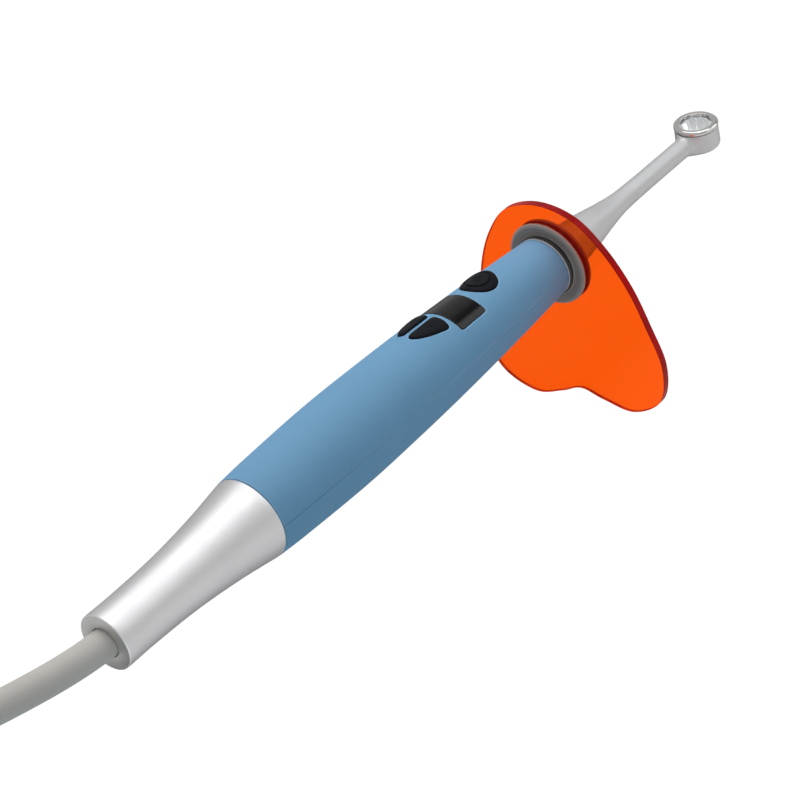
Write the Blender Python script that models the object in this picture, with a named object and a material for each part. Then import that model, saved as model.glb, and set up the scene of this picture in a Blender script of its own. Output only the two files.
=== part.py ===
"""Corded pen-type dental curing light with a slip-on orange eye shield.

Frame: metres, +Z up.  +X runs along the handle toward the light head and +Z is
the side with the buttons and the display.  The origin is the middle of the
part's footprint, level with the lowest point of the eye shield, so the part
can be set down on a plane at Z = 0.

Every piece is drawn in millimetres round the handle's own axis, with x measured
from the rear end face of the sleeve.  finish_mesh scales it to metres, and the
last step moves everything by PLACE.
"""

import math

import bmesh
import bpy
from mathutils import Matrix, Vector

MM = 0.001
GAP = 0.15            # working clearance between neighbouring pieces
SEG = 32              # facets round the handle
PLACE = (-71.2, -3.5, 38.8)   # centre of the sleeve's rear end face, from the origin

# ---------------------------------------------------------------- handle
# turned outlines of the handle: (distance from the rear face, outer radius)
SLEEVE_OUTLINE = ((0.0, 6.76), (8.0, 6.70), (21.0, 7.12), (33.5, 8.30), (44.5, 9.88))
SHELL_OUTLINE = (SLEEVE_OUTLINE[-1], (52.0, 10.28), (73.0, 10.80), (92.5, 10.43),
                 (110.0, 9.76), (130.0, 8.62), (147.2, 7.40))
SLEEVE_END = SLEEVE_OUTLINE[-1][0]
SHELL_START = SLEEVE_END + 0.25
SHELL_END = SHELL_OUTLINE[-1][0]
SHELL_WALL = 1.6
SHELL_EDGE_Z = 0.07   # each shell's long edges stand this far off the z = 0 plane

# ---------------------------------------------------------------- cord
CABLE_HOLE_R = 3.8
CABLE_R = 3.35
CABLE_BORE_R = 2.0
CABLE_LENGTH = 78     # whole mm along the curved part
CORE_R = 0.75
CORE_OFFSET = 1.0     # each core's centre, to either side of the cord's centre
CORE_BARE = 3         # how far the cores stick out of the cut end
JACKET_FRONT, CORE_FRONT = 17.5, 56.6
CORD_BEND_X = 1.5     # where the curved part starts
CORD_STATIONS = (0, 4, 9, 16, 25, 36, 49, 63)   # distances that get a ring of points
CORD_LEAN, CORD_LEAN_LENGTH = 28.0, 15.0        # final lean in degrees, decay length
CORD_SAG = 16.0                                 # final sag in degrees
CORD_SAG_START, CORD_SAG_LENGTH = 34.0, 40.0

# ---------------------------------------------------------------- controls
POWER_X, POWER_R = 126.45, 4.35
KEY_REAR_X, KEY_FRONT_X = 100.8, 110.1
KEY_SWITCH_X, KEY_SWITCH_Y = 106.3, 3.0
BUTTON_GAP = 0.15
WINDOW_X0, WINDOW_X1 = 111.25, 120.05
WINDOW_HALF_ANGLE = 47.5
WINDOW_THICK = 1.2
WINDOW_LEDGE = 1.0         # the opening is shorter than the window by this at each end
WINDOW_OPEN_ANGLE = 38.0   # half of the opening's arc

# ---------------------------------------------------------------- board
BOARD_BOTTOM, BOARD_TOP = -0.4, 0.8
PART_Z = BOARD_TOP + GAP           # underside of the parts on the board
UNDER_BOARD_Z = BOARD_BOTTOM - GAP
SCREW_XS = (60.0, 119.5)

# ---------------------------------------------------------------- nose, neck
COLLAR_REAR, COLLAR_FRONT = 134.0, 153.0
COLLAR_BORE_R = 4.75
COLLAR_R = 5.50
SPIGOT_R = 6.60
FLANGE_R = 7.42
SHANK_REAR = 129.6
SHANK_R = 3.60
RETAINER_GROOVE = (131.35, 132.75)
JOURNAL_R = 4.50
SEAL_GROOVE = (149.45, 151.05)
SHOULDER_X = 153.3
# (x, radius) of the neck in front of the shoulder
NECK_OUTLINE = ((SHOULDER_X, 6.12), (156.0, 5.78), (159.3, 5.30), (164.6, 4.52),
                (171.0, 3.42), (177.0, 2.66), (184.0, 2.44), (197.0, 2.38),
                (207.0, 2.38))
NECK_END = 206.5
NECK_BORE_R = 1.40
NECK_BORE_END = 206.4
STOP_PIN_X, STOP_PIN_R = 141.0, 0.48
STOP_HOLE_R = 0.65
STOP_GROOVE_HALF = 0.8
STOP_ANGLE = 132.0    # half of the arc of the stop groove in the neck

# ---------------------------------------------------------------- head
HEAD_X = 209.7
HEAD_R = 5.40
HEAD_TURN = 7.2       # degrees about +X: how far the head is swivelled at rest
HEAD_BOTTOM = -2.60
HEAD_RIM = 2.65
CAVITY_R = 4.60
LENS_R = 4.00
BEZEL_R = HEAD_R
BEZEL_TOP = 3.85

# ---------------------------------------------------------------- shield
GROMMET_R = 10.5
GROMMET_BORE_R = 6.86
GROMMET_X0, GROMMET_X1 = 148.6, 152.9
GROOVE_R = 8.30
PLATE_X0, PLATE_X1 = 149.7, 151.6
PLATE_HOLE_R = 8.60
SHIELD_TURN = 1.9     # degrees about +X at rest
# +Y half of the plate outline as (y, z) from the handle axis, top to notch
SHIELD_HALF = ((0.0, 15.1), (9.6, 12.6), (16.4, 5.6), (21.4, -3.6),
               (24.3, -13.6), (26.3, -24.0), (23.3, -33.7), (14.6, -38.3),
               (6.2, -36.6), (0.0, -34.6))


# ================================================================ curves
def smooth_radius(stations, x):
    """Radius at x on a cubic Hermite curve through the (x, radius) stations."""
    if x <= stations[0][0]:
        return stations[0][1]
    if x >= stations[-1][0]:
        return stations[-1][1]
    last = len(stations) - 1
    slopes = []
    for i in range(last + 1):
        before, after = stations[max(i - 1, 0)], stations[min(i + 1, last)]
        slopes.append((after[1] - before[1]) / (after[0] - before[0]))
    i = next(k for k in range(last) if x <= stations[k + 1][0])
    (x0, r0), (x1, r1) = stations[i:i + 2]
    width = x1 - x0
    t = (x - x0) / width
    return ((2 * t ** 3 - 3 * t ** 2 + 1) * r0
            + (t ** 3 - 2 * t ** 2 + t) * width * slopes[i]
            + (-2 * t ** 3 + 3 * t ** 2) * r1
            + (t ** 3 - t ** 2) * width * slopes[i + 1])


def shell_radius(x):
    return smooth_radius(SHELL_OUTLINE, x)


def shell_surface_z(x, y):
    """Height of the upper shell's outside above the handle axis."""
    return math.sqrt(shell_radius(x) ** 2 - y * y)


def closed_curve(control, per_span):
    """Catmull-Rom points through a closed loop of 2-D control points."""
    count = len(control)
    points = []
    for i in range(count):
        corners = (control[i - 1], control[i],
                   control[(i + 1) % count], control[(i + 2) % count])
        for k in range(per_span):
            t = k / per_span
            points.append(tuple(
                0.5 * (2 * p1 + (p2 - p0) * t
                       + (2 * p0 - 5 * p1 + 4 * p2 - p3) * t ** 2
                       + (3 * p1 - p0 - 3 * p2 + p3) * t ** 3)
                for p0, p1, p2, p3 in zip(*corners)))
    return points


def circle(cx, cy, radius, count):
    angles = [2 * math.pi * k / count for k in range(count)]
    return [(cx + radius * math.cos(a), cy + radius * math.sin(a)) for a in angles]


def offset_outline(outline, distance):
    """Closed outline moved outward along its normals."""
    count = len(outline)
    area = sum(outline[i][0] * outline[(i + 1) % count][1]
               - outline[(i + 1) % count][0] * outline[i][1] for i in range(count))
    outward = distance if area > 0 else -distance
    moved = []
    for i, (x, y) in enumerate(outline):
        ax, ay = outline[i - 1]
        bx, by = outline[(i + 1) % count]
        tx, ty = bx - ax, by - ay
        length = math.hypot(tx, ty)
        moved.append((x + outward * ty / length, y - outward * tx / length))
    return moved


# ================================================================ meshes
def material(name, colour, roughness, metallic=0.0, alpha=1.0, transmission=0.0):
    mat = bpy.data.materials.new(name)
    mat.use_nodes = True
    inputs = mat.node_tree.nodes["Principled BSDF"].inputs
    inputs["Base Color"].default_value = (*colour, 1.0)
    inputs["Roughness"].default_value = roughness
    inputs["Metallic"].default_value = metallic
    inputs["Alpha"].default_value = alpha
    inputs["Transmission Weight"].default_value = transmission
    return mat


def smooth_shade(mesh):
    mesh.shade_smooth()
    mesh.set_sharp_from_angle(angle=math.radians(35))


def move_origin(obj, point):
    """Put the object's origin at a point given in millimetres."""
    origin = Vector(point) * MM
    obj.data.transform(Matrix.Translation(-origin))
    obj.location = origin


def finish_mesh(bm, name, mat=None, smooth=True, origin=None):
    """Write a bmesh in millimetres to a named object in metres."""
    bmesh.ops.remove_doubles(bm, verts=bm.verts[:], dist=1e-5)
    bmesh.ops.recalc_face_normals(bm, faces=bm.faces[:])
    bmesh.ops.scale(bm, vec=(MM, MM, MM), verts=bm.verts[:])
    mesh = bpy.data.meshes.new(name)
    bm.to_mesh(mesh)
    bm.free()
    obj = bpy.data.objects.new(name, mesh)
    bpy.context.scene.collection.objects.link(obj)
    if mat:
        mesh.materials.append(mat)
    if smooth:
        smooth_shade(mesh)
    if origin:
        move_origin(obj, origin)
    return obj


def turn_about_x(bm, degrees):
    bmesh.ops.rotate(bm, cent=(0, 0, 0), verts=bm.verts[:],
                     matrix=Matrix.Rotation(math.radians(degrees), 3, "X"))


def bridge(bm, one, two):
    """Quads between two closed rings of vertices."""
    count = len(one)
    for k in range(count):
        j = (k + 1) % count
        bm.faces.new((one[k], one[j], two[j], two[k]))


def lathe_bm(profile, seg, arc=None):
    """Turn a closed (x, r) outline about the X axis.

    arc is (start, end) in degrees from +Z toward +Y; None is a full turn."""
    bm = bmesh.new()
    if arc:
        start, end = arc
        angles = [math.radians(start + (end - start) * i / seg) for i in range(seg + 1)]
    else:
        angles = [2 * math.pi * i / seg for i in range(seg)]
    rings = [[bm.verts.new((x, r * math.sin(a), r * math.cos(a))) for x, r in profile]
             for a in angles]
    count = len(profile)
    for i in range(seg):
        one, two = rings[i], rings[(i + 1) % len(rings)]
        for k in range(count):
            j = (k + 1) % count
            # a point on the axis needs no second corner
            far_side = [two[m] for m in (j, k) if profile[m][1] >= 1e-9]
            if far_side:
                bm.faces.new([one[k], one[j]] + far_side)
    if arc:
        bm.faces.new(rings[0])
        bm.faces.new(list(reversed(rings[-1])))
    return bm


def lathe(name, profile, mat=None, seg=SEG, arc=None, origin=None):
    return finish_mesh(lathe_bm(profile, seg, arc), name, mat, origin=origin)


def spin_z(name, profile, x, mat=None, seg=16, turn=0.0, origin=None):
    """Turn a closed (r, z) outline about the vertical at x, then tilt about X."""
    bm = lathe_bm([(z, r) for r, z in profile], seg)
    # the lathe axis X becomes Z
    bmesh.ops.transform(bm, matrix=Matrix(((0, 0, 1, 0), (0, 1, 0, 0),
                                           (1, 0, 0, 0), (0, 0, 0, 1))),
                        verts=bm.verts[:])
    bmesh.ops.translate(bm, vec=(x, 0, 0), verts=bm.verts[:])
    turn_about_x(bm, turn)
    return finish_mesh(bm, name, mat, origin=origin)


def block(name, low, high, mat=None, bevel=0.0, turn=0.0):
    """Box between two corners."""
    bm = bmesh.new()
    bmesh.ops.create_cube(bm, size=1.0)
    bmesh.ops.scale(bm, vec=[b - a for a, b in zip(low, high)], verts=bm.verts[:])
    bmesh.ops.translate(bm, vec=[(b + a) / 2 for a, b in zip(low, high)],
                        verts=bm.verts[:])
    if bevel:
        bmesh.ops.bevel(bm, geom=bm.edges[:], offset=bevel, segments=1,
                        affect="EDGES", profile=0.5)
    turn_about_x(bm, turn)
    return finish_mesh(bm, name, mat, smooth=False)


def rod(name, start, end, radius, mat=None, seg=12):
    """Round bar between two points."""
    start, end = Vector(start), Vector(end)
    along = end - start
    bm = bmesh.new()
    bmesh.ops.create_cone(bm, cap_ends=True, segments=seg, radius1=radius,
                          radius2=radius, depth=along.length)
    aim = along.to_track_quat("Z", "Y").to_matrix().to_4x4()
    bmesh.ops.transform(bm, matrix=Matrix.Translation((start + end) / 2) @ aim,
                        verts=bm.verts[:])
    return finish_mesh(bm, name, mat)


def post(name, x, z0, z1, radius, mat=None, seg=12, y=0.0):
    """Upright round bar."""
    return rod(name, (x, y, z0), (x, y, z1), radius, mat, seg)


def sweep(name, path, radius, mat, seg, bore=0.0):
    """Round bar, or a tube if it has a bore, along a list of points."""
    bm = bmesh.new()
    up = Vector((0, 0, 1))
    outer, inner = [], []
    for i, point in enumerate(path):
        along = (path[min(i + 1, len(path) - 1)] - path[max(i - 1, 0)]).normalized()
        u = (up - along * along.dot(up)).normalized()
        v = along.cross(u)
        for rings, r in ((outer, radius), (inner, bore)):
            if r:
                rings.append([bm.verts.new(point + u * x + v * y)
                              for x, y in circle(0.0, 0.0, r, seg)])
    for rings in (outer, inner):
        for one, two in zip(rings, rings[1:]):
            bridge(bm, one, two)
    for end in (0, -1):
        if inner:
            bridge(bm, outer[end], inner[end])
        else:
            bm.faces.new(outer[end])
    return finish_mesh(bm, name, mat)


def prism_tool(outline, z0, z1):
    """Upright prism over a closed (x, y) outline, for cutting."""
    bm = bmesh.new()
    low, top = [[bm.verts.new((x, y, z)) for x, y in outline] for z in (z0, z1)]
    bm.faces.new(low)
    bm.faces.new(list(reversed(top)))
    bridge(bm, low, top)
    return finish_mesh(bm, "tool")


def combine(obj, tool, operation):
    """Boolean with a tool object, which is used up."""
    mod = obj.modifiers.new("bool", "BOOLEAN")
    mod.operation = operation
    mod.solver = "EXACT"
    mod.object = tool
    bpy.context.view_layer.update()
    graph = bpy.context.evaluated_depsgraph_get()
    mesh = bpy.data.meshes.new_from_object(obj.evaluated_get(graph))
    old = obj.data
    obj.modifiers.clear()
    obj.data = mesh
    mesh.name = old.name + "_cut"
    bpy.data.meshes.remove(old)
    tool_mesh = tool.data
    bpy.data.objects.remove(tool)
    bpy.data.meshes.remove(tool_mesh)
    # clear slivers left by the boolean
    bm = bmesh.new()
    bm.from_mesh(mesh)
    bmesh.ops.remove_doubles(bm, verts=bm.verts[:], dist=2e-6)
    bmesh.ops.dissolve_degenerate(bm, dist=1e-6, edges=bm.edges[:])
    bmesh.ops.triangulate(bm, faces=[f for f in bm.faces if len(f.verts) > 4])
    bm.to_mesh(mesh)
    bm.free()
    smooth_shade(mesh)


def cut(obj, tool):
    combine(obj, tool, "DIFFERENCE")


def join(obj, tool):
    combine(obj, tool, "UNION")


# ================================================================ materials
for old_object in list(bpy.data.objects):
    bpy.data.objects.remove(old_object)

ALU = material("satin_aluminium", (0.72, 0.72, 0.73), roughness=0.38, metallic=1.0)
ALU_NECK = material("neck_aluminium", (0.66, 0.66, 0.67), roughness=0.42, metallic=1.0)
BLUE = material("blue_shell", (0.17, 0.36, 0.60), roughness=0.55)
CORD = material("cord_grey", (0.42, 0.42, 0.42), roughness=0.65)
RED = material("core_red_pvc", (0.55, 0.03, 0.03), roughness=0.5)
BLACK_PVC = material("core_black_pvc", (0.02, 0.02, 0.02), roughness=0.5)
RUBBER = material("black_rubber", (0.012, 0.013, 0.016), roughness=0.6)
SILICONE = material("grey_silicone", (0.16, 0.17, 0.17), roughness=0.55)
INNER = material("inner_plastic", (0.05, 0.05, 0.055), roughness=0.6)
BOARD = material("board_green", (0.02, 0.16, 0.07), roughness=0.45)
LED_BOARD = material("led_board_metal", (0.75, 0.75, 0.72), roughness=0.4, metallic=1.0)
WINDOW = material("display_black", (0.008, 0.008, 0.010), roughness=0.08)
PANEL = material("display_panel", (0.03, 0.05, 0.07), roughness=0.3)
CHIP = material("chip_black", (0.02, 0.02, 0.02), roughness=0.5)
STEEL = material("spring_steel", (0.55, 0.55, 0.57), roughness=0.3, metallic=1.0)
BUSH = material("bush_plastic", (0.75, 0.74, 0.68), roughness=0.5)
SWITCH = material("switch_plastic", (0.08, 0.08, 0.08), roughness=0.5)
CONNECTOR = material("connector_white", (0.80, 0.79, 0.74), roughness=0.5)
CAN = material("capacitor_can", (0.55, 0.56, 0.60), roughness=0.3, metallic=1.0)
FERRITE = material("ferrite", (0.09, 0.09, 0.10), roughness=0.6)
CHROME = material("bezel_chrome", (0.82, 0.82, 0.83), roughness=0.12, metallic=1.0)
GLASS = material("lens_clear", (0.95, 0.96, 0.97), roughness=0.03, alpha=0.35,
                 transmission=1.0)
MIRROR = material("reflector_mirror", (0.90, 0.90, 0.90), roughness=0.08, metallic=1.0)
EMITTER = material("led_yellow", (0.90, 0.75, 0.15), roughness=0.3)
ORANGE = material("shield_orange", (1.0, 0.16, 0.01), roughness=0.05, alpha=0.6,
                  transmission=0.8)


# ================================================================ rear end
def rear_sleeve():
    outer = [(0.0, 6.1), (0.6, 6.66)]
    outer += [(x, smooth_radius(SLEEVE_OUTLINE, x))
              for x in (7.0, 14.0, 21.0, 27.0, 33.0, 38.5, 43.9)]
    outer += [(SLEEVE_END, SLEEVE_OUTLINE[-1][1] - 0.25)]
    bore = [(SLEEVE_END, 7.4), (36.0, 7.4), (28.0, 5.3), (2.2, 5.3),
            (2.2, CABLE_HOLE_R), (0.0, CABLE_HOLE_R)]
    lathe("rear_sleeve", outer + bore, ALU)


def cord_direction(distance):
    """Unit vector: the cord leaves along -X, leans toward +Y, then sags."""
    lean = math.radians(CORD_LEAN) * (1.0 - math.exp(-distance / CORD_LEAN_LENGTH))
    sagged = max(0.0, min(1.0, (distance - CORD_SAG_START) / CORD_SAG_LENGTH))
    sag = math.radians(CORD_SAG) * sagged ** 1.5
    return Vector((-math.cos(lean) * math.cos(sag),
                   math.sin(lean) * math.cos(sag), -math.sin(sag)))


def cord_path(x_front, length, offset=0.0):
    """Line from x_front inside the handle to the cut end, offset sideways."""
    points = [Vector((x, offset, 0.0)) for x in (x_front, 8.0, 4.0)]
    centre = Vector((CORD_BEND_X, 0.0, 0.0))
    for distance in range(length + 1):
        if distance in CORD_STATIONS or distance == length:
            along = cord_direction(distance)
            up = (Vector((0, 0, 1)) - along * along.z).normalized()
            points.append(centre + along.cross(up) * offset)
        # 1 mm on, in the direction at the middle of the step
        centre = centre + cord_direction(distance + 0.5)
    return points


def cable():
    sweep("cable_jacket", cord_path(JACKET_FRONT, CABLE_LENGTH), CABLE_R, CORD, seg=18,
          bore=CABLE_BORE_R)
    for name, offset, mat in (("core_red", CORE_OFFSET, RED),
                              ("core_black", -CORE_OFFSET, BLACK_PVC)):
        path = cord_path(CORE_FRONT, CABLE_LENGTH + CORE_BARE, offset)
        sweep(name, path, CORE_R, mat, seg=8)


def rear_fittings():
    """Rings round the cord and the coupling between sleeve and shells."""
    # name, (x, r) outline, material, facets
    fittings = (
        ("cable_bush", [(2.5, 3.55), (2.5, 5.1), (12.0, 5.1), (12.0, 3.55)], RUBBER, 24),
        ("cord_clamp", [(12.4, 3.5), (12.4, 4.9), (13.4, 4.9), (13.4, 4.2), (16.2, 4.2),
                        (16.2, 4.9), (17.2, 4.9), (17.2, 3.5)], STEEL, 20),
        ("rear_coupling", [(36.3, 5.2), (36.3, 7.1), (37.9, 7.1), (37.9, 6.3),
                           (39.7, 6.3), (39.7, 7.1), (44.3, 7.1), (44.9, 7.9),
                           (54.5, 7.9), (54.5, 5.2)], ALU, 24),
        ("sleeve_seal_ring", [(38.1, 6.45), (38.1, 7.0), (38.4, 7.28), (39.2, 7.28),
                              (39.5, 7.0), (39.5, 6.45)], RUBBER, 24),
    )
    for name, profile, mat, seg in fittings:
        lathe(name, profile, mat, seg=seg)


# ================================================================ shells, controls
def half_shell(name, arc, edge_z):
    stations = [SHELL_START, 48.0, 54.0, 63.0, 73.0, 84.0, 95.0, 106.0, 118.0, 130.0,
                139.0, SHELL_END]
    outside = [(x, shell_radius(x)) for x in stations]
    inside = [(x, shell_radius(x) - SHELL_WALL)
              for x in reversed(stations[::2] + [SHELL_END])]
    bm = lathe_bm(outside + inside, SEG // 2, arc)
    for vert in bm.verts:
        if abs(vert.co.z) < 1e-6:
            vert.co.z = edge_z
    return finish_mesh(bm, name, BLUE)


def power_outline():
    return circle(POWER_X, 0.0, POWER_R, 24)


def key_outline(side):
    """Rounded triangle beside the centre line, pointed at the rear; side 1 is +Y."""
    corners = ((KEY_REAR_X + 0.15, 1.05), (KEY_REAR_X + 1.0, 0.72), (104.6, 0.70),
               (108.9, 0.72), (109.95, 1.35), (KEY_FRONT_X, 2.75), (109.85, 4.35),
               (109.2, 5.20), (107.9, 5.22), (104.8, 4.45), (102.2, 3.35),
               (KEY_REAR_X + 0.05, 2.05))
    return [(x, side * y) for x, y in closed_curve(corners, 2)]


def shells():
    half_shell("lower_shell", (90, 270), -SHELL_EDGE_Z)
    upper = half_shell("upper_shell", (-90, 90), SHELL_EDGE_Z)
    beyond = 13.0   # outside the shell everywhere
    for outline in (power_outline(), key_outline(1), key_outline(-1)):
        cut(upper, prism_tool(offset_outline(outline, BUTTON_GAP), 2.0, 14.0))
    # seat for the display window, then the opening under it
    rear, front = WINDOW_X0 - GAP, WINDOW_X1 + GAP
    seat = [(x, shell_radius(x) - WINDOW_THICK - GAP) for x in (rear, front)]
    seat += [(front, beyond), (rear, beyond)]
    seat_angle = WINDOW_HALF_ANGLE + 0.9
    cut(upper, lathe("tool", seat, seg=10, arc=(-seat_angle, seat_angle)))
    rear, front = WINDOW_X0 + WINDOW_LEDGE, WINDOW_X1 - WINDOW_LEDGE
    opening = [(rear, 4.0), (rear, beyond), (front, beyond), (front, 4.0)]
    cut(upper, lathe("tool", opening, seg=8, arc=(-WINDOW_OPEN_ANGLE, WINDOW_OPEN_ANGLE)))


def display_window():
    ends = (WINDOW_X0, WINDOW_X1)
    profile = [(x, shell_radius(x) - 0.02) for x in ends]
    profile += [(x, shell_radius(x) - WINDOW_THICK) for x in reversed(ends)]
    lathe("display_window", profile, WINDOW, seg=10,
          arc=(-WINDOW_HALF_ANGLE, WINDOW_HALF_ANGLE))


def push_button(name, outline, flange, z_low, z_step, surface, rises, origin):
    """Push button: a flange, a straight wall and a crowned top over an outline.

    surface(x, y) is the height the crown follows; rises are the heights above
    it at the rim, just inside the rim and halfway to the middle."""
    cx = sum(x for x, _ in outline) / len(outline)
    cy = sum(y for _, y in outline) / len(outline)
    wide = offset_outline(outline, flange)
    bm = bmesh.new()
    rings = [[bm.verts.new((x, y, z)) for x, y in points]
             for points, z in ((wide, z_low), (wide, z_step), (outline, z_step))]
    for scale, rise in zip((1.0, 0.9, 0.5), rises):
        points = [(cx + (x - cx) * scale, cy + (y - cy) * scale) for x, y in outline]
        rings.append([bm.verts.new((x, y, surface(x, y) + rise)) for x, y in points])
    bm.faces.new(rings[0])
    for one, two in zip(rings, rings[1:]):
        bridge(bm, one, two)
    bm.faces.new(rings[-1])
    finish_mesh(bm, name, RUBBER, origin=origin)


def buttons():
    # the power button's crown does not follow the taper of the shell
    push_button("power_button", power_outline(), flange=0.45, z_low=4.2, z_step=4.75,
                surface=lambda x, y: shell_surface_z(POWER_X, y),
                rises=(0.15, 0.65, 0.8), origin=(POWER_X, 0.0, 8.8))
    for name, side in (("left_button", 1), ("right_button", -1)):
        push_button(name, key_outline(side), flange=0.40, z_low=4.6, z_step=5.1,
                    surface=shell_surface_z, rises=(0.10, 0.38, 0.52),
                    origin=(KEY_SWITCH_X, side * KEY_SWITCH_Y, 9.4))


# ================================================================ board
def chassis():
    """Floor plate with two part-ring bulkheads and two hollow screw posts."""
    floor = block("chassis", (54.9, -4.5, -5.4), (126.0, 4.5, -3.6), INNER)
    # rear x, front x, outer radius, hole radius
    for x0, x1, radius, hole in ((55.3, 56.7, 7.9, 5.0), (121.6, 123.0, 6.9, 3.3)):
        disc = lathe("tool", [(x0, hole), (x0, radius), (x1, radius), (x1, hole)], seg=20)
        cut(disc, block("top_tool", (x0 - 1, -12, -1.0), (x1 + 1, 12, 12)))
        join(floor, disc)
    for x in SCREW_XS:
        join(floor, post("tool", x, -4.2, UNDER_BOARD_Z, 1.7, seg=16))
        cut(floor, post("tool", x, -3.2, 0.0, 0.95))


def main_board():
    board = block("main_board", (57.2, -5.2, BOARD_BOTTOM), (129.0, 5.2, BOARD_TOP), BOARD)
    for x in SCREW_XS:
        cut(board, post("tool", x, -1.0, 2.0, 1.0))


def board_screws():
    """Upright screws, threaded ends down."""
    rear_x, front_x = SCREW_XS
    pan_head = [(0.0, -3.0), (0.5, -3.0), (0.7, -2.7), (0.7, 1.0), (1.5, 1.0),
                (1.5, 1.45), (1.1, 1.85), (0.0, 1.85)]
    rear = spin_z("board_screw_rear", pan_head, rear_x, STEEL, origin=(rear_x, 0, 1.0))
    cut(rear, block("tool", (rear_x - 0.9, -0.14, 1.5), (rear_x + 0.9, 0.14, 2.4)))
    # no head on the front one: the display module is in the way
    headless = [(0.0, -3.1), (0.5, -3.1), (0.7, -2.8), (0.7, 1.0), (0.0, 1.0)]
    spin_z("board_screw_front", headless, front_x, STEEL, origin=(front_x, 0, 0.0))


def board_parts():
    # name, low corner, high corner, material, bevel
    boxes = (
        ("display_module", (112.4, -4.2, 1.3), (119.0, 4.2, 5.6), PANEL, 0.25),
        ("controller_chip", (83.0, -3.5, PART_Z), (90.0, 3.5, 2.15), CHIP, 0.15),
        ("driver_inductor", (70.0, -3.6, PART_Z), (77.2, 3.6, 4.4), FERRITE, 0.6),
        ("cable_connector", (57.4, -2.6, 2.2), (62.4, 2.6, 4.9), CONNECTOR, 0.2),
        ("led_connector", (123.4, -2.2, -2.8), (128.4, 2.2, UNDER_BOARD_Z), CONNECTOR, 0.2),
    )
    for name, low, high, mat, bevel in boxes:
        block(name, low, high, mat, bevel=bevel)
    can = [(0, PART_Z), (2.3, PART_Z), (2.3, 1.5), (2.15, 1.7), (2.3, 1.9),
           (2.3, 6.2), (2.1, 6.4), (0, 6.4)]
    spin_z("capacitor", can, 66.3, CAN, seg=20)
    # raised rim round a recessed top
    cup = [(0.8, 3.2), (0.8, 3.75), (4.0, 3.75), (4.2, 3.55), (4.2, PART_Z),
           (0, PART_Z), (0, 3.2)]
    spin_z("buzzer", cup, 95.2, SWITCH, seg=24)


def switches():
    """Tactile switches: square bodies with round plungers."""
    # name, x, y, body width, top of the plunger
    for name, x, y, size, top in (
            ("power_switch", POWER_X, 0.0, 4.2, 3.5),
            ("left_switch", KEY_SWITCH_X, KEY_SWITCH_Y, 3.2, 3.9),
            ("right_switch", KEY_SWITCH_X, -KEY_SWITCH_Y, 3.2, 3.9)):
        half = size / 2
        body = block(name, (x - half, y - half, PART_Z), (x + half, y + half, top - 0.7),
                     SWITCH, bevel=0.12)
        join(body, post("tool", x, top - 1.2, top, size * 0.24, seg=16, y=y))


# ================================================================ nose, neck
def nose():
    collar = lathe("nose_collar", [
        (COLLAR_REAR, COLLAR_BORE_R), (COLLAR_REAR, COLLAR_R), (147.45, COLLAR_R),
        (147.45, FLANGE_R), (148.05, FLANGE_R), (148.05, SPIGOT_R), (152.7, SPIGOT_R),
        (COLLAR_FRONT, SPIGOT_R - 0.3), (COLLAR_FRONT, COLLAR_BORE_R)], STEEL, seg=28)
    cut(collar, post("tool", STOP_PIN_X, 4.0, 7.0, STOP_HOLE_R))
    lathe("nose_seal_ring", [(148.2, 6.75), (148.2, 7.45), (148.6, 7.62),
                             (149.05, 7.45), (149.05, 6.75)], RUBBER, seg=28)
    # sleeve bush between shank and collar, with a flange behind the collar
    flange_front = COLLAR_REAR - GAP
    bore, outside = SHANK_R + GAP, COLLAR_BORE_R - GAP
    bush = lathe("swivel_bush", [
        (133.0, bore), (133.0, 5.4), (flange_front, 5.4), (flange_front, outside),
        (147.0, outside), (147.0, bore)], BUSH, seg=24)
    cut(bush, post("tool", STOP_PIN_X, 3.0, 7.0, STOP_HOLE_R))
    post("stop_pin", STOP_PIN_X, 3.25, 5.45, STOP_PIN_R, STEEL)


def head_spin(name, profile, mat=None, seg=28):
    """Turn an (r, z) outline about the swivelled axis of the head."""
    return spin_z(name, profile, HEAD_X, mat, seg=seg, turn=HEAD_TURN)


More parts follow.
